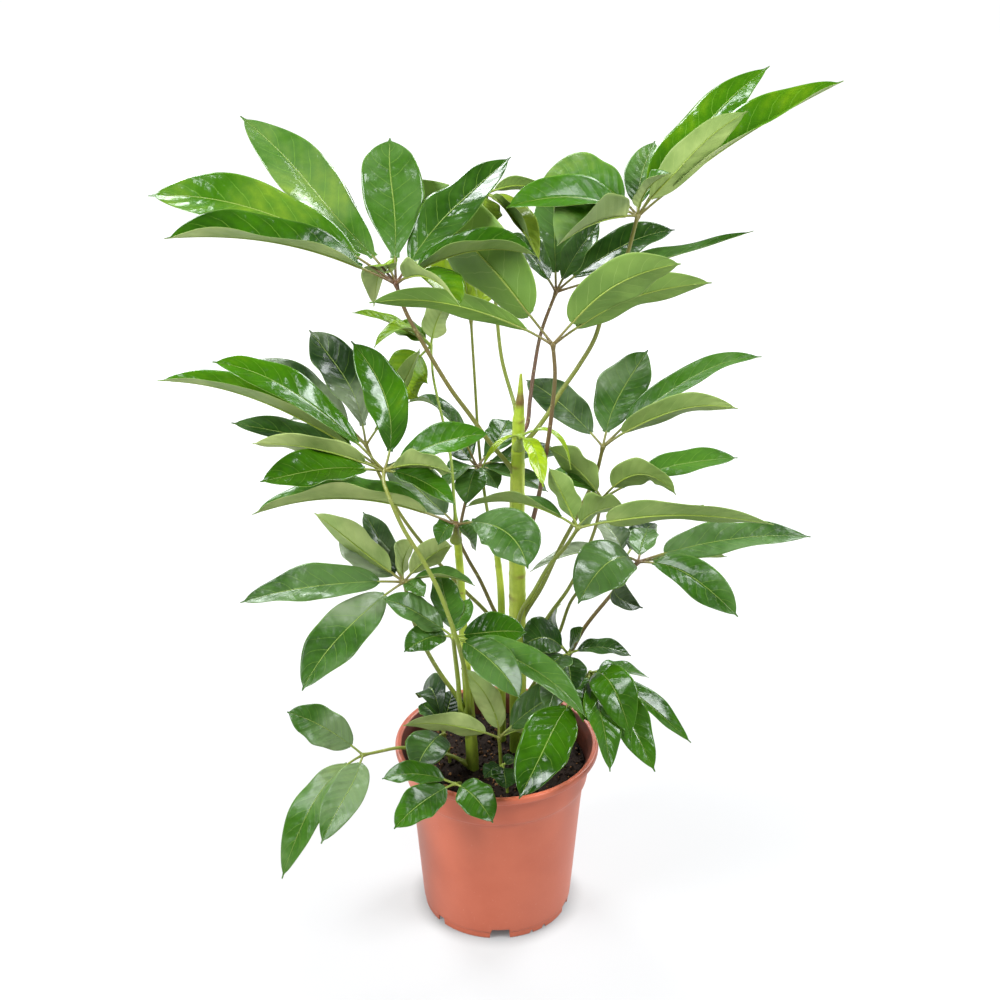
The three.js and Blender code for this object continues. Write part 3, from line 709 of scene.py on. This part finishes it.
            [631, 656, 0, 28, 10, 15, 10], [583, 627, 14, 28, 0, 12, 2],
            [523, 646, 24, 52, 24, 12, 16], [540, 682, 50, 44, 0, 12, 8],
            [571, 694, 34, 38, 0, 12, 6], [548, 714, 16, 38, 0, 12, 4],
            [561, 604, -66, 28, -60, 14, 6, -14],
        ],
    },
    "frond_low_right": {
        "depths": [12, -30], "stalk": 2.1, "root": [58, 12],
        "looks": [0.32, 0.8, 0.6, 0, 0.1, 0.3],
        "route": [[568, 712], [578, 688], [590, 673]],
        "leaflets": [
            [631, 737, 50, 48, 20, 12, 28], [610, 772, 75, 44, 25, 10, 14],
            [655, 772, 35, 46, 20, 12, 18], [691, 743, 0, 34, 10, 20, 12],
            [649, 678, -40, 32, 5, 14, 8], [583, 722, 60, 30, 0, 12, 6],
        ],
    },
    "frond_over_rim": {
        "depths": [20, -62], "stalk": 2.1, "root": [45, 20], "looks": [0.24, 1, 0.6, 0, 0.1, 0.1],
        "route": [[562, 722], [571, 706], [573, 697]],
        "leaflets": [[519, 799, 66, 62, 12, 10, 14, 4, 0.52], [590, 722, 10, 30, 0, 15, 6]],
    },
    "seedling_centre": {
        "depths": [-37, -40], "stalk": 1.9, "root": [5, -35],
        "looks": [0.24, 0.4, 1, 0.1, 0.1, 0.5],
        "route": [[500, 750], [499, 738]],
        "leaflets": [
            [403, 726, 36, 34, -75, 12, 10, 0, 0.42], [461, 668, 36, 30, -112, 10, 0, 12, 0.45],
            [532, 732, 0, 18, -60, 12, 6], [581, 682, 34, 57, 20, 12, 8],
        ],
    },
    "seedling_front": {
        "depths": [-60, -102], "stalk": 1.8, "root": [-41, -60],
        "looks": [0.32, 0.5, 0.8, 0, 0.1, 0.3],
        "route": [[455, 784]],
        "leaflets": [
            [382, 779, 0, 32, 20, 20, 10], [394, 829, 45, 42, 25, 10, 8],
            [493, 823, 38, 42, 25, 10, 10],
        ],
    },
    "seedling_left": {
        "depths": [-4, -10], "stalk": 1.8, "root": [-56, -4],
        "looks": [0.14, 0.35, 0.8, 0.05, 0.3, 0.4],
        "route": [[444, 734]],
        "leaflets": [
            [416, 772, 45, 52, 10, 10, 12], [421, 704, -10, 36, 0, 15, 8],
            [423, 697, -40, 40, 20, 20, 34, 0, 0.6], [452, 690, -30, 36, 0, 12, 4],
        ],
    },
    "seedling_back": {
        "depths": [-66, -70], "stalk": 1.6, "root": [12, -64],
        "looks": [0.12, 0.25, 0.8, 0, 0.1, 0.1],
        "route": [[503, 766]],
        "leaflets": [
            [484, 778, 10, 26, 0, 10, 4], [506, 789, 20, 34, 10, 10, 4],
            [517, 760, -8, 22, 0, 12, 4],
        ],
    },
    "frond_beside_pot": {
        "depths": [-17, -42], "stalk": 2, "looks": [0.4, 0.25, 0.8, 0.35, 0.3, 0.4],
        "route": [[468, 764], [449, 755], [416, 748], [397, 748], [377, 752], [363, 755]],
        "leaflets": [
            [287, 712, -10, 46, 50, 10, 8, 0, 0.46], [282, 879, 20, 44, 10, 12, 26, -6, 0.55],
            [321, 844, 50, 46, 10, 12, 14, 8],
        ],
    },
    "young_leaves": {
        "depths": [8, -4], "stalk": 3, "looks": [0.84, 0.7, 1, 0, 0, 0],
        "route": [[518, 447], [520, 437]],
        "leaflets": [
            [482, 468, 20, 8, 0, 10, 14], [571, 470, 10, 9, 0, 10, 26, 8],
            [543, 487, 34, 22, 0, 10, 14, 3],
        ],
    },
}


# The half width as a share of the widest: a rounded oval, widest at the belly, that ends in a
# narrow drip tip. The oval is 4 s (1 - s) to a power, with s bent so that it peaks at the belly.
def bladeShare(share, belly):
    early, power, taper = bladeForm["oval"]
    shifted = np.clip(share * early, 0, 1) ** (np.log(0.5) / np.log(belly))
    oval = np.clip(4 * shifted * (1 - shifted), 0, 1) ** power * (1 - taper * share**6)
    half, length = bladeForm["drip"]
    return np.maximum(oval, half * np.clip((1 - share) / length, 0, 1) ** 0.8)


# A leaflet's midrib: a parabola from hub to tip, its middle raised by the arch and pushed aside
# by the bow. The blade faces the sky, turned by the roll towards the viewer. What it returns
# gives the spot at each share of the way, the blade's normal there and the way across.
def midrib(hub, tip, roll, arch, bow):
    along = unit(tip - hub)
    level = unit(worldUp - (worldUp @ along) * along)
    across = np.cross(along, level)
    side = np.sign(across @ (bladeForm["rollTo"] * rightward - ahead)) or 1
    face = level * np.cos(roll) + across * side * np.sin(roll)
    bend = (hub + tip) / 2 + worldUp * 2 * arch + rightward * 2 * bow

    def ribAt(share):
        share = share[:, None]
        spot = (1 - share) ** 2 * hub + 2 * share * (1 - share) * bend + share**2 * tip
        slope = unit((1 - share) * (bend - hub) + share * (tip - bend))
        normal = unit(face - (slope @ face)[:, None] * slope)
        return spot, normal, np.cross(slope, normal)

    return ribAt


# The skin of a blade from the points of its top and underside: rings over and under, closed by a
# strip of squares at each end. Also gives the squares' materials: 0 on top and 1 elsewhere.
def bladeSkin(top, under, rows, out):
    ring = np.concatenate([top, under[:, ::-1]], 1)
    count, around = ring.shape[:2]
    steps = np.arange(len(out) - 1)
    cap = np.stack([steps, steps + 1, around - 2 - steps, around - 1 - steps], -1)
    quads = np.vstack([tubeFaces(count, around), cap, cap[:, ::-1] + (count - 1) * around])
    paint = np.tile(np.arange(around) >= len(out) - 1, count - 1)
    paint = np.concatenate([paint, np.ones(2 * len(cap), bool)]).astype(int)
    uvOut = np.concatenate([out, out[::-1]]) / 2 + 0.5
    uv = np.stack(np.meshgrid(rows, uvOut, indexing="ij"), -1).reshape(-1, 2)
    return (ring.reshape(-1, 3), quads[:, ::-1], np.zeros((0, 3), int), uv), paint


# A leaflet on its midrib. Across the blade each half rises from the midrib as a keel that
# flattens outwards. Its margin waves up and down and swells in and out along the way as sines,
# and the whole blade turns a little about the midrib from base to tip.
def leaflet(hub, row, draw, looks):
    shade, gloss, pale, bloom, hubBlush = looks
    row = row + bladeForm["bowAndBelly"][len(row) - 7:]
    x, y, lean, width, roll, fold, arch, bow, belly = row
    roll, fold = np.radians([roll, fold])
    tip = nearer(x, y, hub, lean)
    ribAt = midrib(hub, tip, roll, arch, bow)
    base, crowding = bladeForm["petiolule"], bladeForm["crowding"]
    rows = np.linspace(0, 1, bladeForm["rows"])
    rows = crowding * (1 - np.cos(np.pi * rows)) / 2 + (1 - crowding) * rows
    out = np.linspace(-1, 1, bladeForm["columns"])
    spot, normal, beside = ribAt(base + (1 - base) * rows)
    least = bladeForm["stalkRadius"] * bladeForm["narrowest"]
    half = np.maximum(least, width / 2 * bladeShare(rows, belly))
    half[-1] = bladeForm["tipHalf"]

    # the midrib's sway and the blade's turn about it
    twist = np.radians(draw.uniform(-1, 1) * bladeForm["twist"])
    turn = twist * (rows - bladeForm["untwisted"])
    lift = normal * np.cos(turn)[:, None] - beside * np.sin(turn)[:, None]
    spread = beside * np.cos(turn)[:, None] + normal * np.sin(turn)[:, None]
    sway = draw.uniform(-1, 1) * bladeForm["sway"] * np.linalg.norm(tip - hub)
    sway = sway * np.sin(2 * np.pi * rows)
    spot = spot + spread * sway[:, None]

    # each half's own waves
    waves = draw.uniform(*bladeForm["waves"], 2)
    phases = draw.uniform(0, 2 * np.pi, 2)
    heights = draw.uniform(*bladeForm["waveHeights"], 2) * bladeForm["wave"]
    envelope = np.sin(np.pi * np.clip(rows, 0, 1)) ** 0.5
    side = (out > 0).astype(int)  # 0 left of the midrib, 1 right of it
    rise = heights * envelope[:, None] * np.sin(2 * np.pi * waves * rows[:, None] + phases)
    rise = rise[:, side] * np.abs(out) ** bladeForm["waveReach"]
    swell = np.sin(bladeForm["scallops"] * waves * rows[:, None] + 2 * phases)
    margin = (1 + bladeForm["scallop"] * envelope[:, None] * swell)[:, side]
    keel = np.sin(fold) * ((1 + bladeForm["keel"]) * np.abs(out) - bladeForm["keel"] * out**2)
    lengthwise, outward = bladeForm["ripples"]
    ripple = np.sin(rows[:, None] * lengthwise + np.abs(out) * outward)
    ripple = bladeForm["ripple"] * ripple
    ripple = ripple * np.abs(out) * envelope[:, None]
    upright = half[:, None] * (keel + rise + ripple)
    sideways = half[:, None] * margin * (np.cos(fold) * out)
    middle = spot[:, None] + spread[:, None] * sideways[..., None]
    middle = middle + lift[:, None] * upright[..., None]
    thick = bladeForm["thickness"] * (1 - bladeForm["thinning"] * np.abs(out) ** 3) / 2
    thick = lift[:, None] * thick[:, None]
    skin, paint = bladeSkin(middle + thick, middle - thick, rows, out)
    uneven = bladeForm["toneSpread"]
    tone = np.repeat([shade, pale], len(out)) + draw.uniform(-uneven, uneven)
    blade = partOf(skin, paint, tone=np.tile(tone, len(rows)), gloss=gloss, bloom=bloom)

    # the leaflet's stalk runs on under the blade as its raised midrib
    share = np.linspace(0, bladeForm["ribEnd"], bladeForm["ribRings"])
    spot, normal, beside = ribAt(share)
    onBlade = np.clip((share - base) / (1 - base), 0, 1)
    plain, swell, length = bladeForm["collar"]
    end, more, power = bladeForm["ribRadius"]
    radius = bladeForm["stalkRadius"] * (plain + swell * bell(share, length))
    radius = np.where(share < base, radius, end + more * (1 - onBlade) ** power)
    sink = np.where(onBlade > 0, radius * bladeForm["ribSunk"], 0)
    spot = spot - normal * sink[:, None] + beside * np.interp(onBlade, rows, sway)[:, None]
    skin = rod(spot, radius, bladeForm["ribSides"], normal.mean(0))
    tone = np.repeat(hubBlush * bell(share, bladeForm["blush"]), bladeForm["ribSides"])
    return [blade, partOf(skin, 2, tone=np.append(tone, [hubBlush, 0]), gloss=gloss)]


# A stalk's points: two over its root, if it has one, then its route's on their sight lines.
def frondPath(shape):
    route, root, (first, last) = shape["route"], shape.get("root"), shape["depths"]
    steps = len(route) if root else len(route) - 1
    even = [first + (last - first) * (i + bool(root)) / steps for i in range(len(route))]
    points = [at(x, y, own[0] if own else depth) for (x, y, *own), depth in zip(route, even)]
    if root:
        points = [np.array([*root, height]) for height in stalkForm["rootHeights"]] + points
    return points


# A stalk: a rod that tapers to the hub, swells where it clasps a stem and ends in a small knob.
def stalkOf(shape, points, footBlush, hubBlush):
    path = smoothPath(points, stalkForm["ringsPerPoint"] * len(points))
    onward = unit(path[-1] - path[-2])
    path = np.vstack([path, *(path[-1] + onward * reach for reach in stalkForm["beyond"])])
    share = np.linspace(0, 1, len(path))
    run = np.concatenate([[0], np.cumsum(np.linalg.norm(np.diff(path, axis=0), axis=1))])
    foot, loss = stalkForm["taper"]
    radius = shape.get("stalk", stalkForm["radius"]) * (foot - loss * share)
    if "root" not in shape:
        swell, length = stalkForm["foot"]
        radius = radius * (1 + swell * bell(run, length))
    swell, length, before = stalkForm["hub"]
    radius = radius * (1 + swell * bell(run[-1] - run - before, length))
    radius[-1] *= stalkForm["knobEnd"]
    tone = np.repeat(footBlush + (hubBlush - footBlush) * share**1.3, stalkForm["sides"])
    skin = rod(path, radius, stalkForm["sides"])
    return partOf(skin, 2, tone=np.append(tone, [footBlush, hubBlush]))


leafMaterials = [leafTop(), leafUnder(), stalkSkin()]
print("leaf materials made")

for number, (node, shape) in enumerate(fronds.items()):
    draw = np.random.default_rng(bladeForm["seed"] + number)
    looks = shape["looks"]
    points = frondPath(shape)
    parts = []
    for place, row in enumerate(shape["leaflets"]):
        own = shape.get("apart", {}).get(place, looks[:4])
        parts += leaflet(points[-1], row, draw, own + looks[5:])
    parts.append(stalkOf(shape, points, *looks[4:]))
    makePiece(node + "_leaves", parts, leafMaterials, [node])
print("leaves grown:", len(fronds))

# Upright stems: x, y, z and radius of points up each axis, and the scars of old leaves as
# height, degrees round from the right, and size.
stems = {
    "stem_main": {
        "points": [
            [25, 20, 150, 9.9], [25, 18, 240, 9.9], [24, 12, 400, 9.6], [23.2, 10, 480, 9],
            [22.8, 10, 550, 8.2], [23.6, 10, 600, 7.4], [24, 10, 640, 6.6], [25.4, 10, 662, 4.4],
            [26.4, 10, 696, 1.4],
        ],
        "scars": [
            [300, 200, 7], [352, -70, 8], [372, 175, 8], [398, 30, 7], [416, 205, 7],
            [446, -60, 6], [487, 190, 6], [520, 10, 6], [546, -80, 5], [585, -120, 5],
            [601, 60, 5], [622, 200, 5], [641, -60, 5], [664, -90, 6], [668, 60, 5],
        ],
        "brownAbove": 655,
    },
    "stem_left": {
        "points": [
            [-28, -15, 150, 7.6], [-29.2, -16.5, 215, 7.4], [-33, -18, 300, 5.9],
            [-38, -30, 400, 4.9], [-40.5, -45, 480, 4.4], [-44.2, -60, 546, 3.9],
        ],
        "scars": [
            [262, 200, 5], [330, -60, 4], [392, 190, 4], [452, -80, 4], [505, 180, 4],
            [540, -90, 6],
        ],
        "brownAbove": 900,
    },
    "stem_back": {
        "points": [
            [6, 42, 150, 5.2], [5.5, 42, 240, 5], [5, 41, 400, 4.2], [0, 38, 460, 3.5],
            [-3, 36, 502, 2.8],
        ],
        "scars": [[300, 200, 4], [371, -60, 4], [440, 190, 4], [495, -80, 4]],
        "brownAbove": 900,
    },
}
stemForm = {
    "rings": 260,
    "sides": 32,
    "swell": [0.05, 3.2],  # how much a stem swells at a scar, and over what height
    "waist": [0.03, 2.5, 5],  # how much it narrows above one, over what height, how far above
    "ribs": [0.035, 5, 0.012],  # depth, number and slant of the narrow lengthwise ribs
    "broadRibs": [0.02, 3],
    "scarShape": [8, 0.9, 0.45],  # mm a radian round the stem, sharpness, height over size
    "ringLine": [0.12, 1],  # strength and height of the line round the stem at a scar
    # the brown tip: its strength, the height it comes over, how far up it fades, over what
    # height, and to what share
    "brownTip": [0.85, 6, 24, 8, 0.25],
    "green": [tint(144, 168, 32), tint(188, 204, 70)],
    "streak": tint(110, 134, 34),
    "dark": [tint(84, 66, 26), tint(140, 116, 50)],
    # the colour of the painted shade near the soil
    "soilShade": tint(62, 90, 22),
    "brown": tint(96, 52, 34),
    "speck": tint(120, 84, 50),
    "stretch": 0.16,  # width of a streak over its length
}


# Green bark with painted shade near the soil, long streaks, brown scars where the tone is 1, a
# brown tip where the gloss trait is 1, and specks.
def barkSkin():
    net = Net("bark")
    stretch = (1.0, 1.0, stemForm["stretch"])
    stretched = net.node("Mapping", {}, {"Vector": net.place(), "Scale": stretch})
    streak = net.noise(150, 4, 0.6, stretched)
    patch, speck = net.noise(22, 4), net.noise(420, 2)
    green = net.blend(patch.ease(0.35, 0.68), *stemForm["green"])
    green = net.blend(streak.ease(0.45, 0.75) * 0.4, green, stemForm["streak"])
    climb = net.node("SeparateXYZ", {}, {0: net.place()}, 2)
    # painted shade: the bark darkens towards the soil
    green = net.blend(climb.ease(0.19, 0.32, 0.7, 0.0), green, stemForm["soilShade"])
    scar = net.trait("tone")
    dark = net.blend(streak, *stemForm["dark"])
    colour = net.blend(scar * (streak + 0.3), green, dark)
    colour = net.blend(net.trait("gloss") * 0.9, colour, stemForm["brown"])
    colour = net.blend(speck.ease(0.66, 0.74) * 0.5, colour, stemForm["speck"])
    bump = net.relief(streak + speck * 0.5 + scar, 0.5, 0.0009)
    links = {"Base Color": colour, "Roughness": 0.42 + streak * 0.2, "Normal": bump}
    return net.finish(net.principled(links))


# A stem: a rod about its axis that swells at each scar and narrows over it, with lengthwise
# ribs that are sines of the angle. The scar trait is a bell about each scar, and brown a ramp.
def stemOf(stem):
    knots = np.array(stem["points"], float)
    path = smoothPath(knots[:, :3], stemForm["rings"])
    share = np.linspace(0, len(knots) - 1, len(path))
    radius = np.interp(share, np.arange(len(knots)), knots[:, 3])
    swell, swellHeight = stemForm["swell"]
    waist, waistHeight, above = stemForm["waist"]
    for height, *_ in stem["scars"]:
        radius = radius * (1 + swell * bell(path[:, 2] - height, swellHeight))
        radius = radius * (1 - waist * bell(path[:, 2] - height - above, waistHeight))
    points, *faces = rod(path, radius, stemForm["sides"])
    centre = np.vstack([np.repeat(path, stemForm["sides"], axis=0), path[[0, -1]]])
    reach = points - centre
    angle = np.arctan2(reach[:, 1], reach[:, 0])
    depth, number, slant = stemForm["ribs"]
    broad, few = stemForm["broadRibs"]
    ribs = depth * np.sin(angle * number + points[:, 2] * slant) + broad * np.sin(angle * few)
    points = points + reach * ribs[:, None]
    scar = np.zeros(len(points))
    wide, sharp, tall = stemForm["scarShape"]
    strength, lineHeight = stemForm["ringLine"]
    for height, degrees, size in stem["scars"]:
        turn = np.angle(np.exp(1j * (angle - np.radians(degrees))))
        away = (turn * wide / size) ** 2 * sharp + ((points[:, 2] - height) / (size * tall)) ** 2
        line = bell(points[:, 2] - height, lineHeight) * strength
        scar = np.maximum(scar, np.maximum(np.exp(-away), line))
    most, rise, fade, fall, least = stemForm["brownTip"]
    over = points[:, 2] - stem["brownAbove"]
    brown = most * np.clip(over / rise, 0, 1) * np.clip((fade - over) / fall, least, 1)
    return partOf((points, *faces), tone=scar, gloss=brown)


bark = barkSkin()
for node, stem in stems.items():
    makePiece(node + "_bark", [stemOf(stem)], [bark], [node])
print("stems grown:", len(stems))

potForm = {
    "outline": [
        [18, 0], [19, 14], [85.5, 14], [85.5, 0], [87.3, 0], [87.8, 9], [89.2, 10],
        [102.3, 176], [107.9, 181], [109, 216], [118.5, 216], [120, 217.5], [120, 222.4],
        [119, 224.3], [117, 225], [113.5, 224.2], [112, 222.2], [106.7, 213], [105.9, 182],
        [100.5, 175], [86.3, 16],
    ],
    "cut": [0.82, 0.18],  # a cut at a corner, as shares of the side it is on
    "cuts": 3,
    "segments": 384,
    "footRing": 80,  # the ring is farther out than this
    "notches": [
        [2.5, 22, 13.5], [28.5, 3.5, 4.5], [40.5, 3.5, 4.5], [71, 18, 11], [121.5, 22, 13.5],
        [182.5, 22, 13.5], [218.5, 22, 13.5], [263, 18, 11], [310.3, 11, 9.5],
    ],  # degrees from the front, width, height
    # height and radius of the middle of the wall's thickness
    "wall": [[8, 86.9], [176, 101.4], [182, 107], [213, 108], [222, 112.6]],
    "lipShade": [216.4, 0.4],  # painted shade on the lip, from this height up, and how dark
    "lipShadeRamp": [100, 60],  # no painted shade this far in front, and full shade this much farther back
    "insideShade": 14.5,  # painted shade inside the wall, from this height up
    "plastic": [tint(184, 90, 60), tint(192, 98, 68)],
    "dust": tint(206, 140, 118),
    # the colour of the painted shade on the lip and inside the pot
    "paintedShade": tint(58, 28, 20),
    "coat": 0.1,
}


# Satin moulded plastic with a faint cloudiness, fine grain and pale dust. Where the tone is 1 it
# is painted dark as shade, a little unevenly.
def potSkin():
    net = Net("pot plastic")
    cloud, grain, dust = net.noise(14, 5), net.noise(1100, 3), net.noise(320, 3)
    colour = net.blend(cloud.ease(0.3, 0.7), *potForm["plastic"])
    colour = net.blend(dust.ease(0.66, 0.76) * 0.3, colour, potForm["dust"])
    # painted shade where the tone is 1, a little uneven
    shadeShare = net.trait("tone") * cloud.ease(0.2, 0.6, 0.75, 0.95)
    colour = net.blend(shadeShare, colour, potForm["paintedShade"])
    return net.finish(net.principled({
        "Base Color": colour, "Roughness": 0.36 + cloud * 0.12 + grain * 0.05,
        "Normal": net.relief(grain, 0.12, 0.0005), "Coat Weight": potForm["coat"],
        "Coat Roughness": 0.3,
    }))


# An outline whose corners are cut again and again: each side gives two points, near its ends.
def rounded(outline):
    keep, give = potForm["cut"]
    for _ in range(potForm["cuts"]):
        near = outline[:-1] * keep + outline[1:] * give
        far = outline[:-1] * give + outline[1:] * keep
        sides = np.stack([near, far], 1).reshape(-1, 2)
        outline = np.vstack([outline[:1], sides, outline[-1:]])
    return outline


# The pot is its rounded outline turned about Z. In a notch, the foot ring's lower points rise to
# the notch's top.
points, *faces = turned(rounded(np.array(potForm["outline"], float)), potForm["segments"])
angle = np.degrees(np.arctan2(points[:, 0], -points[:, 1]))
reach = np.hypot(points[:, 0], points[:, 1])
for degrees, across, top in potForm["notches"]:
    off = np.abs((angle - degrees + 180) % 360 - 180)
    inside = (np.radians(off) * reach < across / 2) & (reach > potForm["footRing"])
    points[:, 2] = np.where(inside & (points[:, 2] < top), top, points[:, 2])
wall = np.interp(points[:, 2], *np.array(potForm["wall"]).T)
# Painted shade: on the lip's top none at the front, growing to full darkness towards the back,
# and full inside the wall above its base.
lipHeight, lipDark = potForm["lipShade"]
front, depth = potForm["lipShadeRamp"]
behind = np.clip((points[:, 1] + front) / depth, 0, 1)
paintedShade = np.where(points[:, 2] > lipHeight, lipDark * behind, 0.0)
paintedShade = np.where((reach < wall) & (points[:, 2] > potForm["insideShade"]), 1.0, paintedShade)
pot = partOf((points, *faces), tone=paintedShade)
makePiece("pot_shell", [pot], [potSkin()], ["pot"])
print("pot turned")

soilForm = {
    "outline": [[86.5, 16.4], [99.6, 174], [104.4, 183], [105, 193.5], [103, 195.5]],
    "height": 197,
    "top": [100, 1, 60],  # outermost and innermost ring of the top, and how many
    "segments": 200,
    "edge": [101, 190],  # what lies inside this radius and over this height is heaped
    "waves": [
        (0.11, 0.05, 0), (-0.04, 0.13, 1), (0.31, -0.22, 2), (0.2, 0.37, 4), (0.74, 0.5, 5),
        (-0.6, 0.8, 3),
    ],  # turns along x and y, and start
    "fading": 0.8,  # how fast later waves get lower
    "under": 0.4,  # how far the bed is under the crumbs' level
    "seed": 7,
    "crumbs": 1500,
    "crumbSize": [1.2, 4.6],
    "crumbStretch": [0.55, 1.3],
    "crumbRough": 0.3,
    "sunk": [0.6, 0.15],  # a crumb's half size, and its lift, as shares of its size
    "ball": [5, 6],  # rings and sides of a crumb
    # the soil's own dark brown, darkened further as painted shade
    "dark": [tint(14, 9, 6), tint(36, 23, 15)],
    "chip": tint(132, 94, 60),
    "crumb": tint(84, 56, 36),
}


# Near-black soil, its own dark brown darkened further as painted shade, with chips of bark where
# the tone is high and brown fibres.
def soilSkin():
    net = Net("potting soil")
    cloud, crumb = net.noise(60, 5), net.noise(500, 4)
    dark = net.blend(cloud, *soilForm["dark"])
    colour = net.blend(net.trait("tone").ease(0.45, 1.0), dark, soilForm["chip"])
    colour = net.blend(crumb.ease(0.58, 0.75) * 0.5, colour, soilForm["crumb"])
    return net.finish(net.principled({
        "Base Color": colour, "Roughness": 0.75 + crumb * 0.2,
        "Normal": net.relief(crumb + cloud, 0.9, 0.002), "Specular IOR Level": 0.15,
    }))


# The soil's height: its level plus a sum of sines of x and y, each lower than the one before.
def heaps(x, y):
    total = 0
    for order, (a, b, start) in enumerate(soilForm["waves"]):
        total = total + np.sin(x * a + y * b + start) / (1 + order * soilForm["fading"])
    return soilForm["height"] + total


# The bed is a turned profile whose top is heaped.
outer, inmost, rings = soilForm["top"]
level = np.stack([np.linspace(outer, inmost, rings), np.full(rings, soilForm["height"])], -1)
profile = np.vstack([np.array(soilForm["outline"], float), level])
points, *faces = turned(profile, soilForm["segments"])
edge, lowest = soilForm["edge"]
onTop = (np.hypot(points[:, 0], points[:, 1]) < edge) & (points[:, 2] > lowest)
heaped = heaps(points[:, 0], points[:, 1]) - soilForm["under"]
points[:, 2] = np.where(onTop, heaped, points[:, 2])
soilPaint = soilSkin()
makePiece("soil_bed", [partOf((points, *faces), tone=0.2)], [soilPaint], ["soil"])

# Crumbs: one small rough ball, copied with its own size, stretch and turn for each.
draw = np.random.default_rng(soilForm["seed"])
count = soilForm["crumbs"]
rings, sides = soilForm["ball"]
ballPath = np.linspace(-1, 1, rings)[:, None] * worldUp
ball, ballQuads, ballFans, ballUv = rod(
    ballPath, np.sqrt(1.05 - ballPath[:, 2] ** 2) + 0.02, sides
)
spread = edge * np.sqrt(draw.uniform(0, 1, count))
bearing = draw.uniform(0, 2 * np.pi, count)
size = draw.uniform(*soilForm["crumbSize"], count) * draw.uniform(0.4, 1, count)
stretch = draw.uniform(*soilForm["crumbStretch"], (count, 3))
uneven = soilForm["crumbRough"]
rough = 1 + draw.uniform(-uneven, uneven, (count, len(ball), 1))
spin, _ = np.linalg.qr(draw.normal(size=(count, 3, 3)))
spin = spin * np.sign(np.linalg.det(spin))[:, None, None]
half, lift = soilForm["sunk"]
shaped = ball[None] * rough * stretch[:, None] * size[:, None, None] * half
shaped = np.einsum("nij,nkj->nki", spin, shaped)
centre = np.stack([spread * np.cos(bearing), spread * np.sin(bearing)], -1)
level = heaps(centre[:, 0], centre[:, 1]) + size * lift
shaped += np.concatenate([centre, level[:, None]], -1)[:, None]
step = (np.arange(count) * len(ball))[:, None, None]
surface = (
    shaped.reshape(-1, 3),
    (ballQuads[None] + step).reshape(-1, 4),
    (ballFans[None] + step).reshape(-1, 3),
    np.tile(ballUv, (count, 1)),
)
tone = np.repeat(draw.uniform(0, 1, count) ** 2, len(ball))
makePiece("soil_crumbs", [partOf(surface, tone=tone)], [soilPaint])
print("soil filled")

# A plain pale floor that glows, dimmed under the pot as a painted shadow, a grey sky that darkens
# overhead, and four large soft lamps.
studio = {
    "floor": 8.0,  # metres from the middle to a side, and twice that at the back
    "floorLevel": -0.0005,
    "floorTints": [tint(126, 126, 126), tint(130, 130, 130)],
    "floorGlow": (0.08, 0.56, 0.95),  # under the pot, where it is a painted shadow, near it, and from a metre and a half away
    "shadowToNear": (0.07, 0.11),  # metres from the middle over which the glow changes from the painted shadow
    "nearToFar": (0.25, 1.5),
    "sky": (0.42, 0.1),  # at the horizon and overhead
    "aim": 0.55,  # the height that the lamps face
    "tint": (0.94, 0.97, 1.0),
    "lamps": {
        "left key": [(-1.7, -1.1, 2.2), 1.0, 92],
        "right key": [(1.5, -1.0, 2.3), 0.7, 60],
        "left back": [(-1.0, 1.5, 2.1), 0.8, 60],
        "right back": [(1.3, 1.3, 2.2), 0.8, 60],
    },  # place, size and watts
    "tall": 1.3,  # a lamp's height over its width
}


# A grey of one brightness.
def grey(value):
    return (value, value, value, 1)


reach, level = studio["floor"], studio["floorLevel"]
corners = [(-reach, -reach), (reach, -reach), (reach, reach * 2), (-reach, reach * 2)]
floorMesh = bpy.data.meshes.new("floor")
floorMesh.from_pydata([(x, y, level) for x, y in corners], [], [(0, 1, 2, 3)])
floor = newObject("floor", floorMesh)
net = Net("pale floor")
under, near, far = studio["floorGlow"]
away = net.node("VectorMath", {"operation": "LENGTH"}, {0: net.place()}, "Value")
glow = net.blend(away.ease(*studio["nearToFar"]), grey(near), grey(far))
floorMesh.materials.append(net.finish(net.principled({
    "Base Color": net.blend(net.noise(3, 2), *studio["floorTints"]),
    "Roughness": 0.9, "Specular IOR Level": 0.0, "Emission Strength": 1.0,
    # the glow is dimmed under the pot as a painted shadow beneath its foot and notches
    "Emission Color": net.blend(away.ease(*studio["shadowToNear"]), grey(under), glow),
})))

world = bpy.data.worlds.new("studio")
sky = Net("sky", world)
low, high = studio["sky"]
climb = sky.node("SeparateXYZ", {}, {0: sky.node("TexCoord", {}, {}, "Generated")}, 2).size()
shine = sky.blend(climb.ease(0.25, 0.75), grey(low), grey(high))
sky.node("OutputWorld", {}, {"Surface": sky.node("Background", {}, {"Color": shine})}, None)
bpy.context.scene.world = world
for name, (place, size, watts) in studio["lamps"].items():
    lamp = bpy.data.lights.new(name, "AREA")
    lamp.shape = "RECTANGLE"
    lamp.size = size
    lamp.size_y = size * studio["tall"]
    lamp.energy = watts
    lamp.color = studio["tint"]
    holder = newObject(name, lamp)
    away = np.array(place) - np.array([0, 0, studio["aim"]])
    tilt = np.arctan2(np.hypot(away[0], away[1]), away[2])
    holder.location = place
    holder.rotation_euler = Euler((tilt, 0, np.arctan2(away[0], -away[1])))
bpy.context.scene.view_settings.view_transform = "Standard"
print("studio lit")
